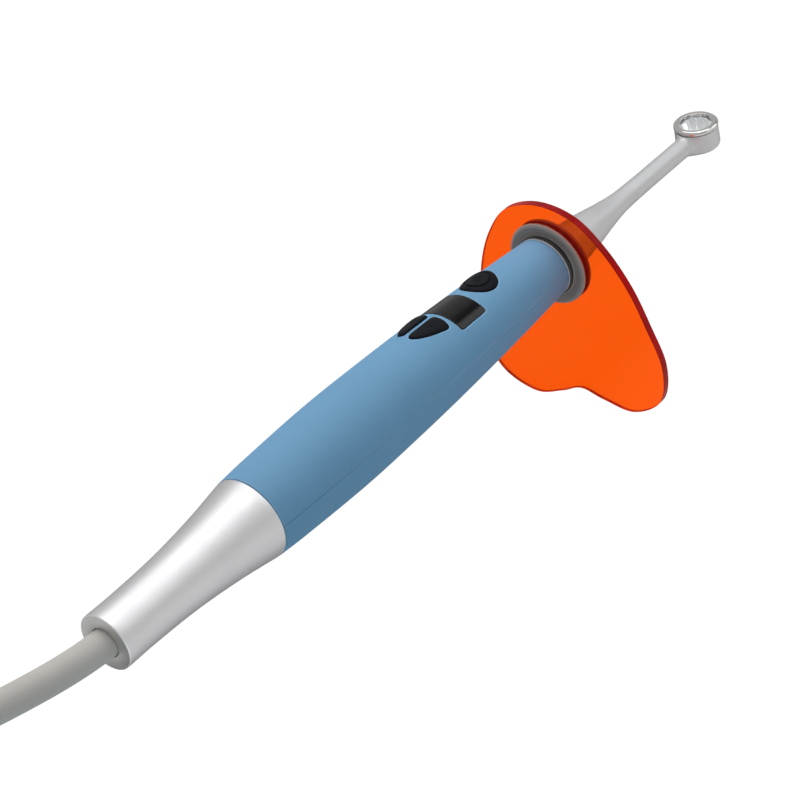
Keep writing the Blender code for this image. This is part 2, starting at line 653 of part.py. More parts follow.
def neck_housing():
    (clip0, clip1), (seal0, seal1) = RETAINER_GROOVE, SEAL_GROOVE
    profile = [(SHANK_REAR, 0.0), (SHANK_REAR, 3.4), (SHANK_REAR + 0.2, SHANK_R),
               (clip0, SHANK_R), (clip0, 3.1), (clip1, 3.1), (clip1, SHANK_R),
               (147.3, SHANK_R), (147.3, JOURNAL_R), (seal0, JOURNAL_R), (seal0, 3.7),
               (seal1, 3.7), (seal1, JOURNAL_R), (SHOULDER_X, JOURNAL_R)]
    profile += [(x, smooth_radius(NECK_OUTLINE, x))
                for x in (SHOULDER_X, 158.0, 163.0, 167.0, 171.0, 175.0, 180.0, 186.0,
                          NECK_END)]
    profile += [(NECK_END, 0.0)]
    neck = lathe("neck_housing", profile, ALU_NECK, seg=24)
    join(neck, head_spin("tool", [
        (0.0, HEAD_BOTTOM), (HEAD_R - 0.7, HEAD_BOTTOM), (HEAD_R - 0.15, HEAD_BOTTOM + 0.25),
        (HEAD_R, HEAD_BOTTOM + 0.8), (HEAD_R - 0.1, HEAD_RIM), (0.0, HEAD_RIM)]))
    # cavity for the lamp parts, open at the top of the head
    cut(neck, head_spin("tool", [(0.0, -1.45), (4.45, -1.45), (4.45, 1.5),
                                 (CAVITY_R, 1.5), (CAVITY_R, 4.0), (0.0, 4.0)]))
    # wire bore from the rear end into the cavity
    bore_rear = SHANK_REAR - 1
    cut(neck, lathe("tool", [(bore_rear, 0), (bore_rear, NECK_BORE_R),
                             (NECK_BORE_END, NECK_BORE_R), (NECK_BORE_END, 0)], seg=14))
    # groove the stop pin runs in: it covers all but the arc of the end stop
    rear, front = STOP_PIN_X - STOP_GROOVE_HALF, STOP_PIN_X + STOP_GROOVE_HALF
    cut(neck, lathe("tool", [(rear, 2.95), (rear, 5.0), (front, 5.0), (front, 2.95)],
                    seg=20, arc=(-STOP_ANGLE, STOP_ANGLE)))
    move_origin(neck, (SHOULDER_X, 0.0, 0.0))


def neck_rings():
    rear, front = RETAINER_GROOVE[0] + 0.2, RETAINER_GROOVE[1] - 0.2
    lathe("retaining_ring", [(rear, 3.25), (rear, 4.7), (front, 4.7), (front, 3.25)],
          STEEL, seg=24)
    rear, front = SEAL_GROOVE[0] + GAP, SEAL_GROOVE[1] - GAP
    lathe("neck_seal_ring", [(rear, 3.82), (rear, 4.45), (rear + 0.2, 4.66),
                             (front - 0.2, 4.66), (front, 4.45), (front, 3.82)],
          RUBBER, seg=24)


# ================================================================ lamp
def lamp():
    """Parts in the head, from the bottom up."""
    head_spin("led_board", [(0.0, -1.2), (4.2, -1.2), (4.2, -0.35), (0.0, -0.35)],
              LED_BOARD, seg=24)
    block("led_emitter", (HEAD_X - 0.95, -0.95, -0.15), (HEAD_X + 0.95, 0.95, 0.65),
          EMITTER, bevel=0.12, turn=HEAD_TURN)
    head_spin("reflector", [(1.55, -0.1), (3.5, -0.1), (3.5, 1.6), (3.9, 1.6),
                            (3.9, 2.0), (3.3, 2.0), (2.5, 1.1)], MIRROR, seg=24)
    head_spin("lens", [(0.0, 2.2), (LENS_R, 2.2), (LENS_R, 3.1), (3.5, 3.38),
                       (2.4, 3.58), (1.2, 3.67), (0.0, 3.7)], GLASS)
    head_spin("lens_bezel", [(4.15, 1.75), (4.15, 3.62), (4.38, BEZEL_TOP),
                             (4.9, BEZEL_TOP), (BEZEL_R, 3.5), (BEZEL_R, 2.8),
                             (4.45, 2.8), (4.45, 1.75)], CHROME)


def led_wires():
    turn = Matrix.Rotation(math.radians(HEAD_TURN), 3, "X")
    for name, y, mat in (("led_wire_red", 0.6, RED), ("led_wire_black", -0.6, BLACK_PVC)):
        start, end = [turn @ Vector((x, y, 0.25)) for x in (SHANK_REAR - 0.25, 205.8)]
        rod(name, start, end, 0.4, mat, seg=10)


# ================================================================ eye shield
def shield_grommet():
    """Ring that slips over the nose, with a groove for the plate."""
    rear, front = PLATE_X0 - GAP, PLATE_X1 + GAP
    profile = [(149.25, GROMMET_BORE_R), (149.3, 7.8), (GROMMET_X0, 9.9),
               (GROMMET_X0 + 0.3, GROMMET_R), (rear, GROMMET_R - 0.1), (rear, GROOVE_R),
               (front, GROOVE_R), (front, GROMMET_R - 0.1), (152.5, GROMMET_R),
               (GROMMET_X1, 9.9), (GROMMET_X1, GROMMET_BORE_R)]
    lathe("shield_grommet", profile, SILICONE, origin=(GROMMET_X0, 0, 0))


def light_shield():
    """Flat plate with a round hole for the grommet."""
    mirrored = [(-y, z) for y, z in reversed(SHIELD_HALF[1:-1])]
    outline = closed_curve(list(SHIELD_HALF) + mirrored, 3)
    hole = circle(0.0, 0.0, PLATE_HOLE_R, 32)
    bm = bmesh.new()
    sides = []
    for x in (PLATE_X0, PLATE_X1):
        rings, edges = [], []
        for points in (outline, hole):
            ring = [bm.verts.new((x, y, z)) for y, z in points]
            edges += [bm.edges.new(pair) for pair in zip(ring, ring[1:] + ring[:1])]
            rings.append(ring)
        bmesh.ops.triangle_fill(bm, use_beauty=True, use_dissolve=False, edges=edges)
        sides.append(rings)
    for rear, front in zip(*sides):
        bridge(bm, rear, front)
    turn_about_x(bm, SHIELD_TURN)
    finish_mesh(bm, "light_shield", ORANGE, origin=(PLATE_X0, 0, 0))


# ================================================================ build
for build in (rear_sleeve, cable, rear_fittings, shells, display_window, buttons,
              chassis, main_board, board_screws, board_parts, switches,
              nose, neck_housing, neck_rings, lamp, led_wires,
              shield_grommet, light_shield):
    build()

for obj in bpy.data.objects:
    obj.location += Vector(PLACE) * MM
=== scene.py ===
"""Looks for a corded pen-type dental curing light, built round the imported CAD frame.

The handle lies along X. Every shape is drawn in millimetres in the handle's own frame: x runs
from the rear end face of the sleeve toward the light head, z points toward the buttons, and
y = z = 0 is the axis. Pieces are placed from the boxes of the CAD nodes, so they follow the
CAD wherever its origin is. Materials, lights and the camera work in metres.
"""

import math

import bmesh
import bpy
import numpy as np
from mathutils import Matrix, Vector


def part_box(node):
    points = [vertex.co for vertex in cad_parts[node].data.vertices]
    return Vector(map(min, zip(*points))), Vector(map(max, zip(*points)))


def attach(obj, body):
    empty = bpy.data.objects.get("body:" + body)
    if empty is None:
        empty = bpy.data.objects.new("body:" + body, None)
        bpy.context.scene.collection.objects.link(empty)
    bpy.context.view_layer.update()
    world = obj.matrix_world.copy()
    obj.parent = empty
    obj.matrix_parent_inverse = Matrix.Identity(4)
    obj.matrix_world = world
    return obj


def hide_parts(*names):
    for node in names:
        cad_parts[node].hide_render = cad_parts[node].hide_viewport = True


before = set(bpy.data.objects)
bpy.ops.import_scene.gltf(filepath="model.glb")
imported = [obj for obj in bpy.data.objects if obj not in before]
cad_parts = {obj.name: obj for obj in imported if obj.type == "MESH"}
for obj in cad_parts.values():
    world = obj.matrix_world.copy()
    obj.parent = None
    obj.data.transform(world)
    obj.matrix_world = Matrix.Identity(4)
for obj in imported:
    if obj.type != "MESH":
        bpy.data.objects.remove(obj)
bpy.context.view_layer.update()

# ------------------------------------------------------------------ dimensions
MM = 0.001
_low, _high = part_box("rear_sleeve")
BASE = Vector((_low.x, (_low.y + _high.y) / 2, (_low.z + _high.z) / 2))


def x_span(node):
    """Lowest and highest x of a CAD node, in mm in the handle frame."""
    return [((corner - BASE) / MM).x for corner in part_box(node)]


def middle_and_half(node):
    """Middle x of a CAD node and half its length along x."""
    start, end = x_span(node)
    return (start + end) / 2, (end - start) / 2


# outlines of the turned surfaces: (x, radius)
SLEEVE_OUTLINE = ((0.0, 6.76), (8.0, 6.70), (21.0, 7.12), (33.5, 8.30), (44.5, 9.88))
SHELL_OUTLINE = ((44.5, 9.88), (52.0, 10.28), (73.0, 10.80), (92.5, 10.43),
                 (110.0, 9.76), (130.0, 8.62), (147.2, 7.40))
NECK_OUTLINE = ((153.3, 6.12), (156.0, 5.78), (159.3, 5.30), (164.6, 4.52),
                (171.0, 3.42), (177.0, 2.66), (184.0, 2.44), (197.0, 2.38),
                (207.0, 2.38))
# one side of the eye shield, top to bottom: (y, z)
SHIELD_HALF = ((0.0, 15.1), (9.6, 12.6), (16.4, 5.6), (21.4, -3.6),
               (24.3, -13.6), (26.3, -24.0), (23.3, -33.7), (14.6, -38.3),
               (6.2, -36.6), (0.0, -34.6))
SHIELD_HOLE_R = 8.60
SHIELD_ROUND = 0.16         # rounding of the plate's edges
SHIELD_TURN = 1.9           # degrees about the handle's axis
HEAD_TURN = 7.2             # the same, for the neck and light head
WALL = 1.6                  # thickness of the blue shells
FLANGE = 0.45               # hidden flange round the power button

SLEEVE_END = x_span("rear_sleeve")[1]
SHELL_START, SHELL_END = x_span("upper_shell")
POWER_X, _power_half = middle_and_half("power_button")
POWER_R = _power_half - FLANGE
WINDOW_X0, WINDOW_X1 = x_span("display_window")
HEAD_X, BEZEL_R = middle_and_half("lens_bezel")
PLATE_X0, PLATE_X1 = x_span("light_shield")
GROMMET_X0, GROMMET_X1 = x_span("shield_grommet")


# ------------------------------------------------------------------ curves
def hermite(stations, x):
    """Smooth value at x through (x, value) stations, held flat past both ends."""
    if x <= stations[0][0]:
        return stations[0][1]
    if x >= stations[-1][0]:
        return stations[-1][1]
    last = len(stations) - 1
    slopes = []
    for i in range(last + 1):
        before, after = stations[max(i - 1, 0)], stations[min(i + 1, last)]
        slopes.append((after[1] - before[1]) / (after[0] - before[0]))
    i = next(k for k in range(last) if x <= stations[k + 1][0])
    x0, start = stations[i]
    x1, end = stations[i + 1]
    width = x1 - x0
    t = (x - x0) / width
    return ((2 * t ** 3 - 3 * t ** 2 + 1) * start
            + (t ** 3 - 2 * t ** 2 + t) * width * slopes[i]
            + (-2 * t ** 3 + 3 * t ** 2) * end
            + (t ** 3 - t ** 2) * width * slopes[i + 1])


def sleeve_radius(x):
    return hermite(SLEEVE_OUTLINE, x)


def shell_radius(x):
    return hermite(SHELL_OUTLINE, x)


def handle_radius(x):
    return sleeve_radius(x) if x < SHELL_OUTLINE[0][0] else shell_radius(x)


def surface_z(x, y):
    """Height of the handle's surface above its axis."""
    radius = handle_radius(x)
    return math.sqrt(max(radius * radius - y * y, 0.01))


def spread(start, end, count):
    """count + 1 evenly spaced values."""
    return [start + (end - start) * i / count for i in range(count + 1)]


def circle(centre_x, centre_y, radius, count):
    return [(centre_x + radius * math.cos(2 * math.pi * k / count),
             centre_y + radius * math.sin(2 * math.pi * k / count)) for k in range(count)]


def catmull(control, per_span):
    """Closed smooth outline through the control points."""
    count = len(control)
    outline = []
    for i in range(count):
        p0, p1 = control[i - 1], control[i]
        p2, p3 = control[(i + 1) % count], control[(i + 2) % count]
        for k in range(per_span):
            t = k / per_span
            outline.append(tuple(
                0.5 * (2 * p1[c] + (p2[c] - p0[c]) * t
                       + (2 * p0[c] - 5 * p1[c] + 4 * p2[c] - p3[c]) * t ** 2
                       + (3 * p1[c] - p0[c] - 3 * p2[c] + p3[c]) * t ** 3)
                for c in range(2)))
    return outline


def offset(outline, distance):
    """Closed outline moved outward by a distance."""
    count = len(outline)
    area = sum(outline[i][0] * outline[(i + 1) % count][1]
               - outline[(i + 1) % count][0] * outline[i][1] for i in range(count))
    sign = 1.0 if area > 0 else -1.0
    moved = []
    for i, (x, y) in enumerate(outline):
        before, after = outline[i - 1], outline[(i + 1) % count]
        along_x, along_y = after[0] - before[0], after[1] - before[1]
        length = math.hypot(along_x, along_y)
        moved.append((x + sign * along_y / length * distance,
                      y - sign * along_x / length * distance))
    return moved


def fillet(points, steps=4):
    """Closed profile of (a, b, corner radius) points with the corners rounded."""
    profile = []
    for i, point in enumerate(points):
        radius = point[2]
        corner = Vector(point[:2])
        back = Vector(points[i - 1][:2]) - corner
        ahead = Vector(points[(i + 1) % len(points)][:2]) - corner
        if (radius <= 0 or back.length < 1e-6 or ahead.length < 1e-6
                or back.angle(ahead) > math.radians(176)):
            profile.append(tuple(corner))
            continue
        angle = back.angle(ahead)
        reach = min(radius / math.tan(angle / 2), 0.48 * back.length, 0.48 * ahead.length)
        radius = reach * math.tan(angle / 2)
        inward = (back.normalized() + ahead.normalized()).normalized()
        centre = corner + inward * (radius / math.sin(angle / 2))
        start = corner + back.normalized() * reach - centre
        end = corner + ahead.normalized() * reach - centre
        turn = start.angle(end)
        if start.x * end.y - start.y * end.x <= 0:
            turn = -turn
        for k in range(steps + 1):
            swing = turn * k / steps
            profile.append((centre.x + start.x * math.cos(swing) - start.y * math.sin(swing),
                            centre.y + start.x * math.sin(swing) + start.y * math.cos(swing)))
    return profile


# ------------------------------------------------------------------ solids
def skin(solid, rings, loop=False):
    """Quads between neighbouring closed rings of points; loop joins the last to the first."""
    rows = [[solid.verts.new(p) for p in ring] for ring in rings]
    count = len(rows[0])
    for one, two in zip(rows, rows[1:] + rows[:1] if loop else rows[1:]):
        for k in range(count):
            j = (k + 1) % count
            solid.faces.new((one[k], one[j], two[j], two[k]))
    return rows


def close_ends(solid, rows, split=False):
    """Flat faces over the first and last rows, cut into triangles if split."""
    for row in (rows[0], rows[-1][::-1]):
        face = solid.faces.new(row)
        if split:
            bmesh.ops.triangulate(solid, faces=[face])


def loft(rings, split=False):
    solid = bmesh.new()
    close_ends(solid, skin(solid, rings), split)
    return solid


def lathe(profile, segments=96, arc=None):
    """Closed (x, radius) profile turned about X, all round or over an arc in degrees."""
    solid = bmesh.new()
    if arc:
        angles = [math.radians(a) for a in spread(*arc, segments)]
    else:
        angles = [2 * math.pi * i / segments for i in range(segments)]
    rows = [[solid.verts.new((x, r * math.sin(a), r * math.cos(a))) for x, r in profile]
            for a in angles]
    on_axis = [r < 1e-9 for _, r in profile]
    for one, two in zip(rows, rows[1:] if arc else rows[1:] + rows[:1]):
        for k in range(len(profile)):
            j = (k + 1) % len(profile)
            corners = [one[k], one[j]]
            if not on_axis[j]:
                corners.append(two[j])
            if not on_axis[k]:
                corners.append(two[k])
            if len(corners) > 2:
                solid.faces.new(corners)
    if arc:
        close_ends(solid, rows)
    return solid


def tilt(solid, degrees):
    """Turn about the handle's axis."""
    bmesh.ops.rotate(solid, cent=(0, 0, 0), verts=solid.verts[:],
                     matrix=Matrix.Rotation(math.radians(degrees), 3, "X"))


def head_spin(profile, segments):
    """Closed (radius, z) profile turned about the light head's axis."""
    solid = lathe([(z, r) for r, z in profile], segments)
    swap_xz = Matrix(((0, 0, 1, 0), (0, 1, 0, 0), (1, 0, 0, 0), (0, 0, 0, 1)))
    bmesh.ops.transform(solid, matrix=swap_xz, verts=solid.verts[:])
    bmesh.ops.translate(solid, vec=(HEAD_X, 0, 0), verts=solid.verts[:])
    tilt(solid, HEAD_TURN)
    return solid


def tube(path, radius, segments=32, bore=0.0, side=(0, 0, 1), round_end=0.0):
    """Round bar, or a tube with a bore, along a list of points."""
    last = len(path) - 1

    def ring(i, size, shift=0.0):
        along = (path[min(i + 1, last)] - path[max(i - 1, 0)]).normalized()
        across = (Vector(side) - along * along.dot(Vector(side))).normalized()
        other = along.cross(across)
        return [path[i] + along * shift + across * size * math.cos(a)
                + other * size * math.sin(a)
                for a in (2 * math.pi * k / segments for k in range(segments))]

    rings = [ring(0, bore)] if bore else []
    rings += [ring(i, radius) for i in range(last)]
    if round_end:
        for k in range(5):
            a = math.radians(22.5 * k)
            rings.append(ring(last, radius - round_end * (1 - math.cos(a)),
                              round_end * (math.sin(a) - 1)))
    else:
        rings.append(ring(last, radius))
    if bore:
        if round_end:
            rings += [ring(last, bore + 0.12), ring(last, bore, -0.15)]
        else:
            rings.append(ring(last, bore))
        rings += [ring(i, bore) for i in range(last - 1, 0, -1)]
    solid = bmesh.new()
    rows = skin(solid, rings, loop=bool(bore))
    if not bore:
        close_ends(solid, rows)
    return solid


def merge(solid, part):
    """Move all of part into solid."""
    carrier = bpy.data.meshes.new("tmp")
    part.to_mesh(carrier)
    part.free()
    solid.from_mesh(carrier)
    bpy.data.meshes.remove(carrier)


def add_box(solid, low, high, bevel):
    """Box with softened edges between two corners."""
    part = bmesh.new()
    bmesh.ops.create_cube(part, size=1.0)
    bmesh.ops.scale(part, vec=[h - l for l, h in zip(low, high)], verts=part.verts[:])
    bmesh.ops.translate(part, vec=[(h + l) / 2 for l, h in zip(low, high)],
                        verts=part.verts[:])
    bmesh.ops.bevel(part, geom=part.edges[:], offset=bevel, segments=2, affect="EDGES",
                    profile=0.5)
    merge(solid, part)


# ------------------------------------------------------------------ objects
def to_object(solid, name, materials=(), sharp=35.0, weld=1e-5):
    """Solid in mm in the handle frame to a named object in metres in the CAD's frame."""
    if weld:
        bmesh.ops.remove_doubles(solid, verts=solid.verts[:], dist=weld)
    bmesh.ops.recalc_face_normals(solid, faces=solid.faces[:])
    bmesh.ops.scale(solid, vec=(MM, MM, MM), verts=solid.verts[:])
    bmesh.ops.translate(solid, vec=BASE, verts=solid.verts[:])
    mesh = bpy.data.meshes.new(name)
    solid.to_mesh(mesh)
    solid.free()
    for material in materials if isinstance(materials, tuple) else (materials,):
        mesh.materials.append(material)
    mesh.shade_smooth()
    mesh.set_sharp_from_angle(angle=math.radians(sharp))
    obj = bpy.data.objects.new(name, mesh)
    bpy.context.scene.collection.objects.link(obj)
    return obj


def boolean(obj, solid, operation="DIFFERENCE"):
    """Exact boolean with a solid, applied at once."""
    tool = to_object(solid, "cutter")
    modifier = obj.modifiers.new("bool", "BOOLEAN")
    modifier.operation = operation
    modifier.solver = "EXACT"
    modifier.object = tool
    bpy.context.view_layer.update()
    graph = bpy.context.evaluated_depsgraph_get()
    mesh = bpy.data.meshes.new_from_object(obj.evaluated_get(graph))
    old = obj.data
    obj.modifiers.clear()
    obj.data = mesh
    bpy.data.meshes.remove(old)
    tool_mesh = tool.data
    bpy.data.objects.remove(tool)
    bpy.data.meshes.remove(tool_mesh)


def tidy(obj, sharp, weld=2e-7, split=False):
    """Clean up after booleans; split cuts faces of more than four corners."""
    solid = bmesh.new()
    solid.from_mesh(obj.data)
    bmesh.ops.remove_doubles(solid, verts=solid.verts[:], dist=weld)
    bmesh.ops.dissolve_degenerate(solid, dist=1e-7, edges=solid.edges[:])
    loose = [v for v in solid.verts if not v.link_faces]
    bmesh.ops.delete(solid, geom=loose, context="VERTS")
    if split:
        bmesh.ops.triangulate(solid, faces=[f for f in solid.faces if len(f.verts) > 4])
    solid.to_mesh(obj.data)
    solid.free()
    obj.data.shade_smooth()
    obj.data.set_sharp_from_angle(angle=math.radians(sharp))


def exact_normals(obj, surface, agree):
    """Give faces on a known surface its exact normals, so cuts don't disturb the shading.

    surface takes points in mm and returns which of them lie on it, and its normals there.
    A face takes part if the cosine between its own normal and each of those is over agree.
    """
    mesh = obj.data
    points = np.zeros(len(mesh.vertices) * 3)
    mesh.vertices.foreach_get("co", points)
    on, normal = surface((points.reshape(-1, 3) - np.array(BASE)) / MM)
    corners = np.zeros(len(mesh.loops) * 3)
    mesh.corner_normals.foreach_get("vector", corners)
    corners = corners.reshape(-1, 3)
    vertex = np.zeros(len(mesh.loops), int)
    mesh.loops.foreach_get("vertex_index", vertex)
    for face in mesh.polygons:
        ids = range(face.loop_start, face.loop_start + face.loop_total)
        flat = np.array(face.normal)
        if all(on[vertex[i]] and flat @ normal[vertex[i]] > agree for i in ids):
            for i in ids:
                corners[i] = normal[vertex[i]]
    mesh.normals_split_custom_set(corners.tolist())


def in_mm(point):
    return [(a - b) / MM for a, b in zip(point, BASE)]


def add(obj, body, node=None):
    """Tell the frame which body carries obj and the CAD node it stands for."""
    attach(obj, body)
    if node:
        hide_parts(node)


# ------------------------------------------------------------------ shader nodes
class Nodes:
    """Short calls for building a node tree."""

    def __init__(self, tree):
        self.tree = tree

    def feed(self, socket, value):
        """Link a socket to the input, or set it to a constant; colours are triples."""
        if isinstance(value, bpy.types.NodeSocket):
            self.tree.links.new(value, socket)
        else:
            socket.default_value = (*value, 1.0) if socket.type == "RGBA" else value

    def node(self, kind, inputs=None, **settings):
        made = self.tree.nodes.new("ShaderNode" + kind)
        for key, value in settings.items():
            setattr(made, key, value)
        for key, value in (inputs or {}).items():
            self.feed(made.inputs[key], value)
        return made

    def maths(self, operation, *values, clamp=False):
        return self.node("Math", dict(enumerate(values)), operation=operation,
                         use_clamp=clamp).outputs[0]

    def ranged(self, value, start, end, low=0.0, high=1.0):
        """low at start, high at end, and held outside them."""
        return self.node("MapRange", {"Value": value, "From Min": start, "From Max": end,
                                      "To Min": low, "To Max": high}).outputs["Result"]

    def mix(self, factor, first, second):
        return self.node("Mix", {0: factor, 6: first, 7: second}, data_type="RGBA",
                         clamp_factor=True).outputs[2]

    def mix_value(self, factor, first, second):
        return self.node("Mix", {0: factor, 2: first, 3: second},
                         data_type="FLOAT").outputs[0]

    def mix_shader(self, factor, first, second):
        return self.node("MixShader", {0: factor, 1: first, 2: second}).outputs["Shader"]

    def axes(self, vector):
        return self.node("SeparateXYZ", {"Vector": vector}).outputs

    def seen(self, ray):
        """1 for the view itself and for the view straight through one clear piece."""
        near = self.maths("LESS_THAN", ray["Transmission Depth"], 2.5)
        through = self.maths("MULTIPLY", ray["Is Transmission Ray"], near)
        return self.maths("MAXIMUM", ray["Is Camera Ray"], through)


class Finish(Nodes):
    """A procedural material: colour drift, specks, worn edges with a painted highlight,
    roughness drift, grain bump.

    Scales are noise scales; grain and edge_width are in mm. drift=None leaves the base
    colour for the caller to feed.
    """

    def __init__(self, name, colour, rough, metal=0.0, drift=0.06, drift_scale=90.0,
                 grain=0.0, grain_scale=5000.0, rough_drift=0.08, rough_scale=240.0,
                 specks=0.0, speck_scale=9000.0, edge=0.0, edge_width=0.22,
                 coat=0.0, coat_rough=0.1, sheen=0.0, specular=0.5, ior=1.5,
                 transmission=0.0):
        self.material = bpy.data.materials.new(name)
        self.material.use_nodes = True
        self.material.diffuse_color = (*colour, 1.0)
        super().__init__(self.material.node_tree)
        principled = self.tree.nodes["Principled BSDF"]
        self.inputs = principled.inputs
        self.shader = principled.outputs["BSDF"]
        self.output = self.tree.nodes["Material Output"].inputs
        for key, value in (("Metallic", metal), ("IOR", ior), ("Specular IOR Level", specular),
                           ("Coat Weight", coat), ("Coat Roughness", coat_rough),
                           ("Sheen Weight", sheen), ("Sheen Roughness", 0.5),
                           ("Transmission Weight", transmission)):
            self.inputs[key].default_value = value
        place = self.node("TexCoord").outputs["Object"]
        self.vector = self.node("Mapping", {"Vector": place}).outputs["Vector"]

        if drift is not None:
            blend = self.mix(self.ranged(self.noise(drift_scale, detail=3.0), 0.3, 0.7),
                             tuple(v * (1 - drift) for v in colour),
                             tuple(min(1.0, v * (1 + drift)) for v in colour))
            if specks:
                fine = self.noise(speck_scale, detail=2.0)
                blend = self.mix(self.ranged(fine, 0.35, 0.75, 0.0, specks), blend,
                                 tuple(v * 0.55 for v in colour))
            # edges are lightened, partly as wear and partly as a painted highlight
            if edge:
                blend = self.mix(self.scaled(self.worn_and_highlit_edges(edge_width), edge), blend,
                                 tuple(min(1.0, v + (1 - v) * 0.45) for v in colour))
            self.feed(self.inputs["Base Color"], blend)

        self.feed(self.inputs["Roughness"],
                  self.ranged(self.noise(rough_scale, detail=4.0), 0.3, 0.7,
                              max(0.0, rough * (1 - rough_drift)),
                              min(1.0, rough * (1 + rough_drift))))
        if grain:
            bump = self.node("Bump", {"Strength": 1.0, "Distance": grain * MM,
                                      "Height": self.noise(grain_scale, detail=2.0)})
            self.feed(self.inputs["Normal"], bump.outputs["Normal"])

    def noise(self, scale, detail):
        return self.node("TexNoise", {"Scale": scale, "Detail": detail,
                                      "Vector": self.vector}).outputs["Fac"]

    def scaled(self, value, factor):
        return self.maths("MULTIPLY", value, factor, clamp=True)

    def worn_and_highlit_edges(self, width):
        """1 on edges that a finger or a cloth would wear and that take a painted highlight, 0
        on flats.
        """
        bevel = self.node("Bevel", {"Radius": width * MM}, samples=4)
        normal = self.node("NewGeometry").outputs["Normal"]
        dot = self.node("VectorMath", {0: bevel.outputs["Normal"], 1: normal},
                        operation="DOT_PRODUCT")
        return self.ranged(dot.outputs["Value"], 0.995, 0.90)

    def clear_shadow(self, shader, grey):
        """Shadow rays pass through unrefracted, dimmed to grey; others see the shader."""
        ray = self.node("LightPath").outputs
        clear = self.node("BsdfTransparent", {"Color": (grey, grey, grey)})
        self.feed(self.output["Surface"],
                  self.mix_shader(ray["Is Shadow Ray"], shader, clear.outputs["BSDF"]))


def finish(name, **look):
    return Finish(name, **look).material


# ------------------------------------------------------------------ materials
def seam_with_highlight():
    """The joint line: a dark joint at the rear, where the halves close tight, and lighter in
    front, a painted highlight along its edge.
    """
    look = Finish("m_blue_shell_seam_highlight", colour=(0.42, 0.65, 0.90), rough=0.52, drift=None,
                  grain=0.004, grain_scale=8000, specular=0.2)
    along = look.ranged(look.axes(look.vector)["X"], start=BASE.x + 0.052, end=BASE.x + 0.100)
    look.feed(look.inputs["Base Color"],
              look.mix(along, (0.205, 0.46, 0.73), (0.46, 0.68, 0.91)))
    return look.material


def acetal():
    look = Finish("m_acetal", colour=(0.72, 0.70, 0.62), rough=0.45, drift=0.04, grain=0.004)
    look.inputs["Subsurface Weight"].default_value = 0.1
    look.inputs["Subsurface Radius"].default_value = (0.0008, 0.0008, 0.0008)
    look.inputs["Subsurface Scale"].default_value = 1.0
    return look.material


def clear(name, **look):
    """Clear material whose shadows are only slightly dimmed."""
    made = Finish(name, transmission=1.0, **look)
    made.clear_shadow(made.shader, grey=0.92)
    return made.material


def orange_acrylic():
    """Clear cast acrylic with the dye in the volume, so the edges go deep red."""
    look = Finish("m_shield_acrylic", colour=(1.0, 1.0, 1.0), rough=0.012, drift=0.0,
                  transmission=1.0, ior=1.49, rough_drift=0.5, rough_scale=60)
    look.feed(look.inputs["Specular Tint"], (1.0, 0.30, 0.12))
    per_metre = (6.0, 1040.0, 4100.0)           # absorption of red, green and blue
    peak = max(per_metre)
    dye = look.node("VolumeAbsorption", {"Color": tuple(1 - v / peak for v in per_metre),
                                         "Density": peak})
    look.feed(look.output["Volume"], dye.outputs["Volume"])
    # the sawn rim, where the faces don't point along the handle, is a satin deep red; its large
    # dark and bright patches are painted shade and light
    normal = look.axes(look.node("TexCoord").outputs["Normal"])
    facing_x = look.maths("ABSOLUTE", normal["X"])
    red = look.mix(look.ranged(look.noise(scale=55.0, detail=3.0), 0.38, 0.62),
                   (0.40, 0.002, 0.006), (0.86, 0.005, 0.009))
    # seen nearly edge-on, the faces glow orange instead of mirroring the room
    facing = look.node("LayerWeight").outputs["Facing"]
    skim = look.maths("MULTIPLY", look.ranged(facing, 0.70, 0.90),
                      look.ranged(facing_x, 0.80, 0.95, low=0.0, high=0.74))
    rim = look.node("BsdfPrincipled", {"Roughness": 0.34, "Specular IOR Level": 0.12,
                                       "Base Color": look.mix(skim, red, (0.96, 0.13, 0.010))})
    sawn = look.ranged(facing_x, 0.80, 0.30, low=0.0, high=0.80)
    body = look.mix_shader(look.maths("MAXIMUM", sawn, skim), look.shader,
                           rim.outputs["BSDF"])
    look.clear_shadow(body, grey=0.95)
    look.material.diffuse_color = (1.0, 0.16, 0.01, 0.6)
    return look.material


ALU = finish("m_sleeve_aluminium", colour=(0.80, 0.80, 0.81), rough=0.47, metal=1.0,
             drift=0.015, grain=0.012, grain_scale=6500, rough_drift=0.06, edge=0.5)
ALU_FACE = finish("m_sleeve_end_face", colour=(0.74, 0.74, 0.74), rough=0.30, metal=1.0,
                  drift=0.02, grain=0.004, edge=0.3)
# polished chamfers at the sleeve's ends, lighter than the sleeve: partly their finish, partly a
# painted highlight
ALU_EDGE_HIGHLIGHT = finish("m_sleeve_edge_highlight", colour=(0.95, 0.965, 0.97), rough=0.30, metal=1.0,
                  drift=0.02, grain=0.003, grain_scale=6500)
ALU_NECK = finish("m_neck_aluminium", colour=(0.690, 0.695, 0.703), rough=0.58, metal=1.0,
                  drift=0.015, grain=0.005, grain_scale=7000, rough_drift=0.06, edge=0.3,
                  edge_width=0.2)
BLUE = finish("m_blue_shell", colour=(0.243, 0.528, 0.832), rough=0.58, drift=0.02,
              grain=0.006, grain_scale=8000, rough_drift=0.10, specks=0.04, edge=0.30,
              edge_width=0.2, specular=0.18)
# seam material: a dark joint at the rear, a painted highlight in front
BLUE_SEAM_HIGHLIGHT = seam_with_highlight()
